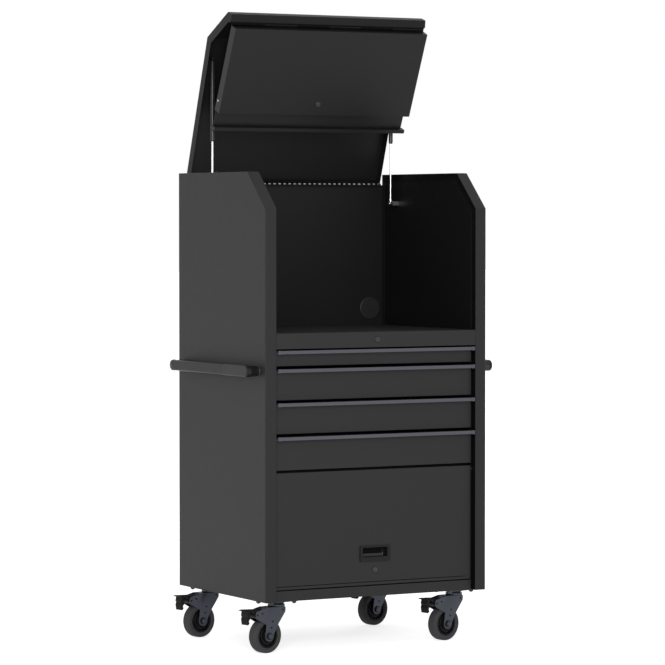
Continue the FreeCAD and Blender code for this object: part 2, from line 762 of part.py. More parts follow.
def paddle_housing():
    """The dished plate that the latch paddle sits in."""
    left, right, low, high = PADDLE_PLATE
    plate = box(left, right, FACE - PADDLE_PROUD, FACE - SEAT_GAP, low, high)
    plate = rounded(plate, PADDLE_CORNER, lambda edge: runs_along(edge, vec(0, 1, 0)))
    front = FACE - PADDLE_PROUD
    inner_left, inner_right, inner_low, inner_high = PADDLE_OPENING
    cup = box(
        inner_left - PADDLE_WALL,
        inner_right + PADDLE_WALL,
        FACE - PADDLE_PROUD + SHEET,
        FACE + PADDLE_RECESS,
        inner_low - PADDLE_WALL,
        inner_high + PADDLE_WALL,
    )
    room_back = FACE + PADDLE_RECESS - PADDLE_WALL
    room = box(inner_left, inner_right, front - SHEET, room_back, inner_low, inner_high)
    pivot_y, pivot_z = paddle_pivot()
    pin_hole = bore_x(
        inner_left - PADDLE_WALL, inner_right + PADDLE_WALL, pivot_y, pivot_z, PADDLE_PIN_RADIUS + TURN_GAP
    )
    return cut(fused([plate, cup]), [room, pin_hole])


def paddle_lever():
    """The finger paddle: a flap with a curled foot, a stiffening lug at one end and its own pin."""
    left, right, low, _ = PADDLE_OPENING
    pivot_y, pivot_z = paddle_pivot()
    start = left + SLIDE_GAP
    front = FACE + PADDLE_SETBACK
    back = front + PADDLE_SHEET
    foot = low + PADDLE_LIFT
    half = PADDLE_SHEET / 2
    fold = folded_sheet([(front - PADDLE_CURL, foot), (back, foot), (back, pivot_z)], PADDLE_SHEET)
    rib = [(front, foot), (pivot_y, foot + PADDLE_SHEET), (pivot_y + PADDLE_SHEET, pivot_z), (front, pivot_z)]
    pieces = [
        slab_x(fold, start, PADDLE_END),
        slab_x(rib, PADDLE_END - PADDLE_LUG_WIDTH, PADDLE_END),
        box(start, PADDLE_END, front, pivot_y, pivot_z - half, pivot_z + half),
        pin_x(start, PADDLE_END, pivot_y, pivot_z, PADDLE_BOSS_RADIUS),
        rod_x(left - PADDLE_WALL, right + PADDLE_WALL, pivot_y, pivot_z, PADDLE_PIN_RADIUS),
    ]
    return fused(pieces)


# Lid and its hinge
def lid_path():
    """The outer fold line of the lid's sheet, drawn closed from the back edge to the front return."""
    return [
        (REAR, SIDE_TOP - LID_FLANGE),
        (REAR, SIDE_TOP),
        (FRONT + CHAMFER_DEPTH, SIDE_TOP),
        (FRONT, SIDE_TOP - CHAMFER_DROP),
        (FRONT, LID_FRONT_EDGE),
        (FRONT + LID_RETURN, LID_FRONT_EDGE - LID_RETURN_DROP),
    ]


def lid_shell():
    """The folded lid with flanges down both sides."""
    path = lid_path()
    skin = slab_x(folded_sheet(path, SHEET), -LID_HALF_WIDTH, LID_HALF_WIDTH)
    band = folded_sheet(path[1:5], LID_FLANGE)
    right = slab_x(band, LID_HALF_WIDTH - SHEET, LID_HALF_WIDTH)
    return opened(fused([skin, right, mirrored(right)]))


def knuckle_spans(pairs, half, first):
    """The X spans of every second knuckle along a hinge."""
    pitch = 2 * half / (2 * pairs)
    starts = [-half + pitch * index for index in range(first, 2 * pairs, 2)]
    return [(start + KNUCKLE_GAP / 2, start + pitch - KNUCKLE_GAP / 2) for start in starts]


def hinge_knuckles(spans, y, z):
    """A row of rolled hinge knuckles."""
    outline = ring_round(HINGE_KNUCKLE_RADIUS, KNUCKLE_FLATS, y, z)
    return [slab_x(outline, start, end) for start, end in spans]


def knuckle_bore(y, z):
    """The passage for the pin through a row of knuckles."""
    return slab_x(ring_round(HINGE_PIN_RADIUS + TURN_GAP, KNUCKLE_FLATS, y, z), -HALF_WIDTH, HALF_WIDTH)


def rear_leaf(first, low, high):
    """One leaf of the lid's long hinge, with its share of the knuckles."""
    y, z = LID_HINGE
    leaf_front = y - HINGE_KNUCKLE_RADIUS
    reach = KNUCKLE_CORNER + KNUCKLE_GAP
    spans = knuckle_spans(HINGE_PAIRS, LID_HALF_WIDTH, first)
    upward = high > z
    plate_low = z + reach if upward else low
    plate_high = high if upward else z - reach
    plate = box(-LID_HALF_WIDTH, LID_HALF_WIDTH, leaf_front, leaf_front + HINGE_LEAF, plate_low, plate_high)
    tab_low = z if upward else plate_high
    tab_high = plate_low if upward else z
    tabs = [box(start, end, leaf_front, leaf_front + HINGE_LEAF, tab_low, tab_high) for start, end in spans]
    return cut(fused([plate] + tabs + hinge_knuckles(spans, y, z)), [knuckle_bore(y, z)])


def hinge_pin(y, z, half):
    """A hinge's full-length pin."""
    return rod_x(-half, half, y, z, HINGE_PIN_RADIUS)


def lid_front_leaf():
    """The leaf inside the lid's front return that carries the lid door and its pin."""
    y, z = LID_DOOR_PIVOT
    slope = math.atan2(-LID_RETURN_DROP, LID_RETURN)
    start = (FRONT + 2 * SHEET, LID_FRONT_EDGE - 2 * SHEET * LID_RETURN_DROP / LID_RETURN)
    base = left_of(start, (start[0] + math.cos(slope), start[1] + math.sin(slope)), SHEET + SEAT_GAP)
    reach = KNUCKLE_CORNER + KNUCKLE_GAP
    length = (y - reach - base[0][0]) / math.cos(slope)
    end = (base[0][0] + length * math.cos(slope), base[0][1] + length * math.sin(slope))
    plate = slab_x(folded_sheet([base[0], end], HINGE_LEAF), -LID_DOOR_HALF_WIDTH, LID_DOOR_HALF_WIDTH)
    spans = knuckle_spans(LID_DOOR_HINGE_PAIRS, LID_DOOR_HALF_WIDTH, 0)
    tab_end = (end[0] + HINGE_KNUCKLE_RADIUS, end[1] + HINGE_KNUCKLE_RADIUS * math.tan(slope))
    tabs = [slab_x(folded_sheet([base[0], tab_end], HINGE_LEAF), first, last) for first, last in spans]
    leaf = cut(fused([plate] + tabs + hinge_knuckles(spans, y, z)), [knuckle_bore(y, z)])
    return [leaf, hinge_pin(y, z, LID_DOOR_HALF_WIDTH)]


def lid_strut_stud():
    """The stud on the lid's right side flange that the strut's upper end sits against."""
    y, z = STRUT_LID_STUD
    inner = LID_HALF_WIDTH - SHEET
    end = STRUT_X + STRUT_EYE_WIDTH / 2 + SEAT_GAP
    return pin_x(end, inner, y, z, STRUT_STUD_RADIUS)


def lid_hardware():
    """The lid's share of both hinges and its two strut studs."""
    leaf = rear_leaf(1, LID_HINGE[1], LID_HINGE[1] + HINGE_LEAF_HEIGHT)
    stud = lid_strut_stud()
    return [opened(piece) for piece in [leaf, stud, mirrored(stud)] + lid_front_leaf()]


# Lid door with its bolts
def lid_door_section():
    """The section of the lid door's sheet: top wall, face, finger recess and lower lip."""
    face = LID_DOOR_FACE
    back = face + LID_DOOR_DEPTH
    top = LID_DOOR_TOP
    main_end = top - LID_DOOR_MAIN
    grip_end = main_end - LID_DOOR_GRIP
    lip_face = face + LID_DOOR_LIP_SETBACK
    lip_end = grip_end - LID_DOOR_LIP_BAND
    main = [
        (back, top - LID_DOOR_RETURN),
        (back, top),
        (face, top),
        (face, main_end),
        (back - SHEET, main_end),
    ]
    grip = [(back - SHEET, main_end), (back - SHEET, grip_end)]
    lip = [(back - SHEET, grip_end), (lip_face, grip_end), (lip_face, lip_end), (back, lip_end)]
    return main, grip, lip


def lid_door_panel():
    """The door's folded pan with side walls, a recessed finger strip, a lip and hinge knuckles."""
    main, grip, lip = lid_door_section()
    half = LID_DOOR_HALF_WIDTH
    narrow = half - LID_DOOR_GRIP_NARROW
    back = LID_DOOR_FACE + LID_DOOR_DEPTH
    pan = slab_x(folded_sheet(main, SHEET), -half, half)
    recess = box(-narrow, narrow, back - SHEET, back, grip[1][1] - SHEET, grip[0][1] + SHEET)
    ledge = slab_x(folded_sheet(lip, SHEET), -half, half)
    wall = box(half - SHEET, half, LID_DOOR_FACE, back, main[3][1], LID_DOOR_TOP)
    rim = box(half - LID_DOOR_RETURN, half, back - SHEET, back, main[3][1], LID_DOOR_TOP)
    cheek = box(half - SHEET, half, lip[1][0], back, lip[3][1], lip[0][1])
    sides = [wall, rim, cheek]
    y, z = LID_DOOR_PIVOT
    spans = knuckle_spans(LID_DOOR_HINGE_PAIRS, half, 1)
    knuckles = hinge_knuckles(spans, y, z)
    tab_low = LID_DOOR_TOP - HINGE_LEAF
    tabs = [box(start, end, back - SHEET, back + HINGE_LEAF, tab_low, z) for start, end in spans]
    body = fused([pan, recess, ledge] + sides + [mirrored(side) for side in sides] + knuckles + tabs)
    bolt_z = LID_DOOR_TOP - LID_DOOR_LOCK_DROP
    bolt_y = LID_DOOR_FACE + BOLT_DEPTH
    bolt_hole = bore_x(-HALF_WIDTH, HALF_WIDTH, bolt_y, bolt_z, BOLT_RADIUS + TURN_GAP)
    return cut(body, [bolt_hole, knuckle_bore(y, z), lock_hole(bolt_z, LID_DOOR_FACE)])


def lid_bolt():
    """The right-hand bolt: a round rod with a flat inner end that the lock's cam would draw."""
    z = LID_DOOR_TOP - LID_DOOR_LOCK_DROP
    y = LID_DOOR_FACE + BOLT_DEPTH
    tip = LID_DOOR_HALF_WIDTH + BOLT_REACH
    return pin_x(BOLT_INNER_END, tip, y, z, BOLT_RADIUS)


# Gas struts, drawn upright from the wall stud and then leaned to the lid stud
def strut_ends():
    """The open length and forward lean of the right strut at rest."""
    lid_y, lid_z = turned(STRUT_LID_STUD, LID_HINGE, -LID_OPEN_ANGLE)
    wall_y, wall_z = STRUT_WALL_STUD
    length = math.dist((lid_y, lid_z), STRUT_WALL_STUD)
    lean = math.degrees(math.atan2(lid_y - wall_y, lid_z - wall_z))
    return length, lean


def strut_placed(shape, lean):
    """Leans an upright strut piece and sets it on the wall stud."""
    shape.rotate(vec(0, 0, 0), vec(1, 0, 0), -lean)
    shape.translate(vec(STRUT_X, STRUT_WALL_STUD[0], STRUT_WALL_STUD[1]))
    return shape


def strut_rod():
    """The polished rod with its eye."""
    length, lean = strut_ends()
    half = STRUT_EYE_WIDTH / 2
    radius = STRUT_EYE_RADIUS
    tube_low = length - radius - STRUT_TUBE_LENGTH
    eye = box(-half, half, -radius, radius, -radius, radius)
    hole = bore_x(-half, half, 0, 0, STRUT_STUD_RADIUS + TURN_GAP)
    shaft = slab_z(ring(STRUT_ROD_RADIUS, PIN_FLATS), radius, tube_low + STRUT_ROD_OVERLAP)
    return strut_placed(fused([eye, shaft]).cut(hole), lean)


def strut_tube():
    """The pressure tube, bored for the rod, with its upper end fitting."""
    length, lean = strut_ends()
    half = STRUT_EYE_WIDTH / 2
    radius = STRUT_EYE_RADIUS
    high = length - radius
    low = high - STRUT_TUBE_LENGTH
    body = slab_z(ring(STRUT_TUBE_RADIUS, BARREL_FLATS), low, high)
    bore = slab_z(ring_round(STRUT_ROD_RADIUS + TURN_GAP, PIN_FLATS), low, high - STRUT_TUBE_END)
    end = box(-half, half, -radius, radius, high, length + radius)
    return strut_placed(fused([body.cut(bore), end]), lean)


# Side handles
def flat_bar(y0, y1, thickness, tall):
    """A bar along Y with a tall flat section, its upper and lower edges rounded over."""
    radius = thickness / 2
    straight = tall / 2 - radius
    centre = HALF_WIDTH + HANDLE_REACH - HANDLE_SOCKET_THICKNESS / 2
    outline = []
    for x, z in ring(radius, PIN_FLATS, centre, HANDLE_Z):
        outline.append((x, z + straight if z > HANDLE_Z else z - straight))
    return slab_y(outline, y0, y1)


def side_handle():
    """The right push handle: two round posts, a moulded socket and the grip between them."""
    front_y = FRONT + HANDLE_FRONT_INSET
    rear_y = REAR - HANDLE_REAR_INSET
    socket_end = front_y + HANDLE_SOCKET_LENGTH
    tip = HALF_WIDTH + HANDLE_REACH
    outlines = [ring(HANDLE_POST_RADIUS, BARREL_FLATS, y, HANDLE_Z) for y in (front_y, rear_y)]
    posts = [slab_x(outline, HALF_WIDTH, tip) for outline in outlines]
    socket = flat_bar(front_y, socket_end, HANDLE_SOCKET_THICKNESS, 2 * HANDLE_POST_RADIUS)
    grip = flat_bar(socket_end, rear_y, HANDLE_GRIP_THICKNESS, HANDLE_GRIP_TALL)
    return fused(posts + [socket, grip])


# Casters
def placed(shape, x, y):
    """Turns a caster piece to its resting heading and sets it under the cabinet."""
    shape.rotate(vec(0, 0, 0), vec(0, 0, 1), CASTER_TRAIL_TURN)
    shape.translate(vec(x, y, 0))
    return shape


def caster_plate():
    """The fixed top plate with its upper race, the kingpin riveted through it, and four bolts."""
    top = BODY_BOTTOM
    low = top - PLATE_THICKNESS
    plate = box(-PLATE_LENGTH / 2, PLATE_LENGTH / 2, -PLATE_WIDTH / 2, PLATE_WIDTH / 2, low, top)
    race = slab_z(ring(RACE_RADIUS, BARREL_FLATS), FORK_TOP + SEAT_GAP, low)
    kingpin = rod_z(0, 0, FORK_TOP - 2 * FORK_SHEET, low, KINGPIN_RADIUS)
    bolt = slab_z(ring_round(PLATE_BOLT_ACROSS / 2, HEX_FLATS), low - PLATE_BOLT_HEIGHT, low)
    bolts = []
    for x in (-PLATE_BOLT_X, PLATE_BOLT_X):
        for y in (-PLATE_BOLT_Y, PLATE_BOLT_Y):
            bolts.append(bolt.translated(vec(x, y, 0)))
    return [fused([plate, race, kingpin])] + bolts


def fork_leg():
    """One leg as a flat plate on the +Y side: a wide top, an arm to the pedal, a round end at the axle."""
    inner = WHEEL_WIDTH / 2 + FORK_SIDE_GAP
    arm_x, arm_z = PEDAL_PIVOT
    hub_left = CASTER_TRAIL - FORK_HUB_RADIUS
    hub_right = CASTER_TRAIL + FORK_HUB_RADIUS
    straights = [
        (hub_right, WHEEL_RADIUS),
        (FORK_NOTCH[0], FORK_NOTCH[1]),
        (arm_x + FORK_ARM_END, arm_z - FORK_ARM_HALF),
        (arm_x + FORK_ARM_END, arm_z + FORK_ARM_HALF),
        (FORK_CROWN_BACK, FORK_TOP),
        (FORK_CROWN_FRONT, FORK_TOP),
        (FORK_CROWN_FRONT, FORK_TOP - FORK_CROWN_DROP),
        (FORK_HEEL[0], FORK_HEEL[1]),
        (hub_left, WHEEL_RADIUS),
    ]
    corners = [vec(x, inner, z) for x, z in straights]
    edges = [Part.LineSegment(first, second).toShape() for first, second in zip(corners, corners[1:])]
    bottom = vec(CASTER_TRAIL, inner, WHEEL_RADIUS - FORK_HUB_RADIUS)
    edges.append(Part.Arc(corners[-1], bottom, corners[0]).toShape())
    return Part.Face(Part.Wire(edges)).extrude(vec(0, FORK_SHEET, 0))


def caster_fork():
    """The pressed fork, with the axle bolt and the pedal rivet fixed in its cheeks."""
    inner = WHEEL_WIDTH / 2 + FORK_SIDE_GAP
    outer = inner + FORK_SHEET
    leg = fork_leg()
    other = leg.mirror(vec(0, 0, 0), vec(0, 1, 0))
    crown = box(FORK_CROWN_FRONT, FORK_CROWN_BACK, -outer, outer, FORK_TOP - FORK_SHEET, FORK_TOP)
    hole = ring_round(KINGPIN_RADIUS + TURN_GAP, PIN_FLATS)
    bore = slab_z(hole, FORK_TOP - 2 * FORK_SHEET, FORK_TOP + FORK_SHEET)
    axle = pin_y(CASTER_TRAIL, -inner, inner, WHEEL_RADIUS, AXLE_RADIUS)
    rivet = pin_y(PEDAL_PIVOT[0], -inner, inner, PEDAL_PIVOT[1], PEDAL_PIN_RADIUS)
    nut = ring_round(NUT_ACROSS / 2, HEX_FLATS, CASTER_TRAIL, WHEEL_RADIUS)
    near = slab_y(nut, -outer - NUT_HEIGHT, -outer)
    far = slab_y(nut, outer, outer + NUT_HEIGHT)
    body = cut(fused([leg, other, crown]), [bore])
    return fused([body, axle, rivet, near, far])


def wheel_ring(radius):
    """The outline of one moulded ring of the wheel."""
    return ring(radius, BARREL_FLATS, CASTER_TRAIL, WHEEL_RADIUS)


def caster_tyre():
    """The rubber tyre, round outside and keyed to the rim inside."""
    half = WHEEL_WIDTH / 2
    tread = rod_y(CASTER_TRAIL, -half, half, WHEEL_RADIUS, WHEEL_RADIUS)
    return tread.cut(slab_y(wheel_ring(RIM_RADIUS), -half, half))


def caster_wheel():
    """The moulded wheel centre, dished on both faces round a hub bored for the axle."""
    half = WHEEL_WIDTH / 2
    web = half - RIM_RECESS
    body = slab_y(wheel_ring(RIM_RADIUS - SEAT_GAP), -half, half)
    dish = slab_y(wheel_ring(RIM_LEDGE), web, half + SHEET)
    hub = slab_y(ring(HUB_RADIUS, PIN_FLATS, CASTER_TRAIL, WHEEL_RADIUS), web, half + SHEET)
    well = dish.cut(hub)
    other = well.mirror(vec(0, 0, 0), vec(0, 1, 0))
    bore = bore_y(CASTER_TRAIL, -half, half, WHEEL_RADIUS, AXLE_RADIUS + TURN_GAP)
    return cut(body, [well, other, bore])


def caster_pedal():
    """The brake pedal: a flat tread, a shoe that faces the tyre and a hanging release tab."""
    half = PEDAL_HALF_WIDTH
    pivot_x, pivot_z = PEDAL_PIVOT
    outline = [(pivot_x + x, pivot_z + z) for x, z in PEDAL_OUTLINE]
    hole = bore_y(pivot_x, -half, half, pivot_z, PEDAL_PIN_RADIUS + TURN_GAP)
    return slab_y(outline, -half, half).cut(hole)


def save_cabinet():
    """Writes every piece that belongs to the standing cabinet."""
    panel = side_panel()
    save("right_side_panel", [panel])
    save("left_side_panel", [mirrored(panel)])
    liner = side_liner()
    save("side_liners", [liner, mirrored(liner)])
    save("rear_panel", [rear_panel()])
    save("worktop", [worktop()])
    save("base_pan", [base_pan()])
    save("mid_shelf", [mid_shelf()])
    channels = [cabinet_runner(level) for level in DRAWER_LEVELS]
    save("runner_channels", channels + [mirrored(channel) for channel in channels])
    handle = side_handle()
    save("side_handles", [handle, mirrored(handle)])
    leaf = rear_leaf(0, LID_HINGE[1] - HINGE_LEAF_HEIGHT, LID_HINGE[1])
    save("lid_hinge_fixed_leaf", [leaf, hinge_pin(LID_HINGE[0], LID_HINGE[1], LID_HALF_WIDTH)])
    save("pivot_pins", pivot_pins())
    save("cable_grommet", [cable_grommet()])
    save("fascia_lock_housing", [lock_housing(FASCIA_LOCK_Z, FRONT)])
    save("fascia_lock_plug", [lock_plug(FASCIA_LOCK_Z, FRONT, FASCIA_CAM_LENGTH, 0.0, FASCIA_CAM_REACH)])


def save_lid():
    """Writes the lid, its door and the struts."""
    save("lid_shell", [lid_shell()])
    save("lid_hardware", lid_hardware())
    save("lid_door_panel", [folded_up(lid_door_panel())])
    lock_z = LID_DOOR_TOP - LID_DOOR_LOCK_DROP
    save("lid_door_lock_housing", [folded_up(lock_housing(lock_z, LID_DOOR_FACE))])
    cam_reach = LOCK_BODY_DEPTH + SEAT_GAP
    plug = lock_plug(lock_z, LID_DOOR_FACE, LID_DOOR_CAM_LENGTH, LID_DOOR_CAM_ANGLE, cam_reach)
    save("lid_door_lock_plug", [folded_up(plug)])
    bolt = lid_bolt()
    save("lid_bolt_left", [folded_up(mirrored(bolt))])
    save("lid_bolt_right", [folded_up(bolt)])
    rod = strut_rod()
    tube = strut_tube()
    save("strut_rod_left", [mirrored(rod)])
    save("strut_rod_right", [rod])
    save("strut_tube_left", [mirrored(tube)])
    save("strut_tube_right", [tube])


def save_drawers():
    """Writes each drawer's box, pull strip and inner runner members."""
    for number, level in enumerate(DRAWER_LEVELS, start=1):
        name = "drawer_" + str(number)
        member = drawer_runner(level)
        save(name + "_box", [drawer_box(level)])
        save(name + "_pull", drawer_pull(level))
        save(name + "_runners", [member, mirrored(member)])


def save_lower_door():
    """Writes the lower flap with its latch and lock."""
    save("lower_door_panel", [lower_door_panel()])
    save("paddle_housing", [paddle_housing()])
    save("paddle_lever", [paddle_lever()])
    save("lower_lock_housing", [lock_housing(LOWER_LOCK_Z, FACE)])
    plug = lock_plug(LOWER_LOCK_Z, FACE, LOWER_CAM_LENGTH, 0.0, LOCK_BODY_DEPTH + SEAT_GAP)
    save("lower_lock_plug", [plug])


def save_casters():
    """Writes the four casters, all trailing the same way."""
    plates = []
    for depth, y in (("front", -CASTER_Y), ("rear", CASTER_Y)):
        for side, x in (("left", -CASTER_X), ("right", CASTER_X)):
            name = "caster_" + depth + "_" + side
            at_y = CABINET_CENTRE_Y + y
            for plate in caster_plate():
                plates.append(plate.translated(vec(x, at_y, 0)))
            save(name + "_fork", [placed(caster_fork(), x, at_y)])
            save(name + "_tyre", [placed(caster_tyre(), x, at_y)])
            save(name + "_wheel", [placed(caster_wheel(), x, at_y)])
            save(name + "_pedal", [placed(caster_pedal(), x, at_y)])
    save("caster_plates", plates)


os.makedirs("parts", exist_ok=True)
save_cabinet()
save_lid()
save_drawers()
save_lower_door()
save_casters()
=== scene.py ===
"""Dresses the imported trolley: finishes, finer pieces, studio light and camera.

Sizes of pieces are in millimetres. Finishes and the studio are in metres, as their docstrings say.
"""

import json
import logging
import math
from dataclasses import dataclass, field
from enum import Enum, IntEnum
from typing import Any, Dict, List, Optional, Sequence, Tuple, Union

import bmesh
import bpy
from mathutils import Matrix, Vector

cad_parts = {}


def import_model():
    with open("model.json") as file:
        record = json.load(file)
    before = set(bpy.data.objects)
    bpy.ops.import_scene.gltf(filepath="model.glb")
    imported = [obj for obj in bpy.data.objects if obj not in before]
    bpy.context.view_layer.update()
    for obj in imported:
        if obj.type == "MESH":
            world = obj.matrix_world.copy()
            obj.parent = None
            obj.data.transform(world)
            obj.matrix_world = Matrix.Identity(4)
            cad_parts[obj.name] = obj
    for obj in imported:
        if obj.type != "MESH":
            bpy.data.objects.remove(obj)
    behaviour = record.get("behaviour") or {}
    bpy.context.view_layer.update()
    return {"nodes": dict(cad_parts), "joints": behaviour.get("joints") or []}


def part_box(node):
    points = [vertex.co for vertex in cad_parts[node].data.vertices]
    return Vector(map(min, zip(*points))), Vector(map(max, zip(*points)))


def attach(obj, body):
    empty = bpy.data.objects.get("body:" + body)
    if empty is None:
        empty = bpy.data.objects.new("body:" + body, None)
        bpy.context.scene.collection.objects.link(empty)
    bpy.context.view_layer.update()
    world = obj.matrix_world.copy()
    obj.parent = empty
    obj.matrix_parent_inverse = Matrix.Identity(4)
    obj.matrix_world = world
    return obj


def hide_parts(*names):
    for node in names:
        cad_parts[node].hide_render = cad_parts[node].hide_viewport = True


Point2 = Tuple[float, float]
Point3 = Tuple[float, float, float]
LOG = logging.getLogger("trolley")
MILLIMETRE = 0.001
ON_AXIS = 1e-9
OPAQUE = (1.0,)
WHITE = (1.0, 1.0, 1.0, 1.0)
BLACK = (0.0, 0.0, 0.0, 1.0)

# Edges: a width in millimetres, and the angles in degrees over which one is rounded or stays sharp
EDGE_ROUNDING = 0.4
ROUNDING_STEPS = 3
ROUNDED_ABOVE = 40.0
SHARP_ABOVE = 32.0

# Points on a drawn outline
HEXAGON = 6
CORNER_STEPS = 5
HUB_STEPS = 16
HALF_ROUND_STEPS = 24


class Axis(Enum):
    """The direction that a form is pushed or turned along."""

    X = 0
    Y = 1
    Z = 2


class Grain(Enum):
    """How a finish breaks up close to."""

    POWDER = "powder"
    DRAWN_X = "drawn along X"
    DRAWN_Y = "drawn along Y"
    MOULDED = "moulded"
    PLATED = "plated"
    RUBBED = "rubbed"


class Side(Enum):
    """Left or right of someone who faces the front."""

    LEFT = -1
    RIGHT = 1


class Facets(IntEnum):
    """Segments round a turned form."""

    RIVET = 20
    PIN = 24
    BOLT = 32
    WASHER = 36
    EYE = 40
    TUBE = 48
    ROUND = 64
    BUSH = 72
    WHEEL = 96


@dataclass(frozen=True)
class Places:
    """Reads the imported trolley's joints and nodes, in millimetres.

    Attributes:
        joints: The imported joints, by name.
    """

    joints: Dict[str, Dict[str, Any]]

    def pivot(self, joint: str) -> Vector:
        """The point that a joint turns about."""
        return Vector(self.joints[joint]["pos_m"]) / MILLIMETRE

    def axis(self, joint: str) -> Vector:
        """The direction of a joint's axis."""
        return Vector(self.joints[joint]["axis"])

    @staticmethod
    def box(node: str) -> Tuple[Vector, Vector]:
        """A node's lowest and highest corner."""
        low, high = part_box(node)
        return low / MILLIMETRE, high / MILLIMETRE


# Shader graphs
class Sock:
    """A shader socket that takes Python arithmetic."""

    def __init__(self, bench: "Bench", socket: bpy.types.NodeSocket) -> None:
        """Wraps one output socket.

        Args:
            bench: The graph that the socket belongs to.
            socket: The output socket.
        """
        self.bench = bench
        self.socket = socket

    def _maths(self, operation: str, first: "Value", second: "Value") -> "Sock":
        """Adds one Math node.

        Args:
            operation: The node's operation.
            first: Its first value.
            second: Its second value.

        Returns:
            The node's result.
        """
        made = self.bench.node("ShaderNodeMath", {"operation": operation}, {0: first, 1: second})
        return Sock(self.bench, made.outputs[0])

    def __add__(self, other: "Value") -> "Sock":
        """Adds a value."""
        return self._maths("ADD", self, other)

    __radd__ = __add__

    def __mul__(self, other: "Value") -> "Sock":
        """Multiplies by a value."""
        return self._maths("MULTIPLY", self, other)

    __rmul__ = __mul__

    def __sub__(self, other: "Value") -> "Sock":
        """Takes a value away."""
        return self._maths("SUBTRACT", self, other)

    def __rsub__(self, other: "Value") -> "Sock":
        """Takes this from a value."""
        return self._maths("SUBTRACT", other, self)

    def above(self, limit: "Value") -> "Sock":
        """One where this is over a limit."""
        return self._maths("GREATER_THAN", self, limit)

    def size(self) -> "Sock":
        """How far this is from zero."""
        return self._maths("ABSOLUTE", self, 0.0)

    def most(self, other: "Value") -> "Sock":
        """The larger of two values."""
        return self._maths("MAXIMUM", self, other)


Value = Union[Sock, float, Sequence[float]]


class Bench:
    """Builds one material's node graph."""

    def __init__(self, tree: bpy.types.NodeTree) -> None:
        """Empties a node tree and takes it over.

        Args:
            tree: The tree of a material or of the world.
        """
        self.tree = tree
        self.tree.nodes.clear()

    def node(self, kind: str, settings: Optional[Dict[str, object]] = None,
             values: Optional[Dict[Union[int, str], Value]] = None) -> bpy.types.Node:
        """Adds a node.

        Args:
            kind: The node's type.
            settings: Properties set before its sockets.
            values: Numbers or links for its input sockets.

        Returns:
            The new node.
        """
        made = self.tree.nodes.new(kind)
        for key, setting in (settings or {}).items():
            setattr(made, key, setting)
        for key, value in (values or {}).items():
            if isinstance(value, Sock):
                self.tree.links.new(value.socket, made.inputs[key])
            else:
                made.inputs[key].default_value = value
        return made

    def out(self, made: bpy.types.Node, name: Union[int, str] = 0) -> Sock:
        """One output of a node, wrapped."""
        return Sock(self, made.outputs[name])

    def place(self, stretch: Point3 = (1.0, 1.0, 1.0)) -> Sock:
        """The point on the piece, in metres.

        Args:
            stretch: How much each direction is stretched.

        Returns:
            The scaled position.
        """
        where = self.node("ShaderNodeTexCoord")
        scaled = self.node("ShaderNodeVectorMath", {"operation": "MULTIPLY"},
                           {0: self.out(where, "Object"), 1: stretch})
        return self.out(scaled)

    def noise(self, scale: float, detail: float, where: Sock) -> Sock:
        """A soft random field from 0 to 1.

        Args:
            scale: Features per metre.
            detail: Octaves.
            where: The position to read it at.

        Returns:
            The field.
        """
        made = self.node("ShaderNodeTexNoise", {}, {"Vector": where, "Scale": scale, "Detail": detail})
        return self.out(made, 0)

    def blend(self, share: Value, first: Value, second: Value) -> Sock:
        """Mixes two colours.

        Args:
            share: How much of the second colour shows.
            first: The first colour.
            second: The second colour.

        Returns:
            The mixed colour.
        """
        made = self.node("ShaderNodeMix", {"data_type": "RGBA"}, {0: share, 6: first, 7: second})
        return self.out(made, 2)


@dataclass(frozen=True)
class Mottling:
    """How grain, cloud and drift add up in every finish.

    Attributes:
        drift: Scale and detail of the slow drift over a whole panel.
        cloud: Scale and detail of the hand-sized clouds.
        patch: Shares of drift and cloud in the mottling.
        speck: Shares of mottling and grain in the colour.
        gloss: What cloud and grain add to the roughness, after what is taken off first.
        streak: How far a drawn grain is stretched along its direction.
    """

    drift: Point2 = (3.5, 3.0)
    cloud: Point2 = (38.0, 4.0)
    patch: Point2 = (0.6, 0.4)
    speck: Point2 = (0.75, 0.25)
    gloss: Point3 = (0.06, 0.08, 0.04)
    streak: float = 0.012


MOTTLING = Mottling()


@dataclass(frozen=True)
class Layers:
    """How a coarse pattern and a fine noise add up in a grain.

    Attributes:
        spread: The odd layer's pitch, as a share of the finish's own.
        coarse: The coarse pattern's share.
        fine: The fine noise's share.
        detail: The fine noise's octaves.
    """

    spread: float
    coarse: float
    fine: float
    detail: float


POWDER_LAYERS = Layers(0.4, 0.5, 0.5, 3.0)
PLATED_LAYERS = Layers(0.2, 0.7, 0.3, 2.0)
MOULDED_LAYERS = Layers(2.0, 0.8, 0.3, 2.0)
LAYER_DETAIL = 2.0
DRAWN_DETAIL = 3.0
RUBBED_DETAIL = 5.0


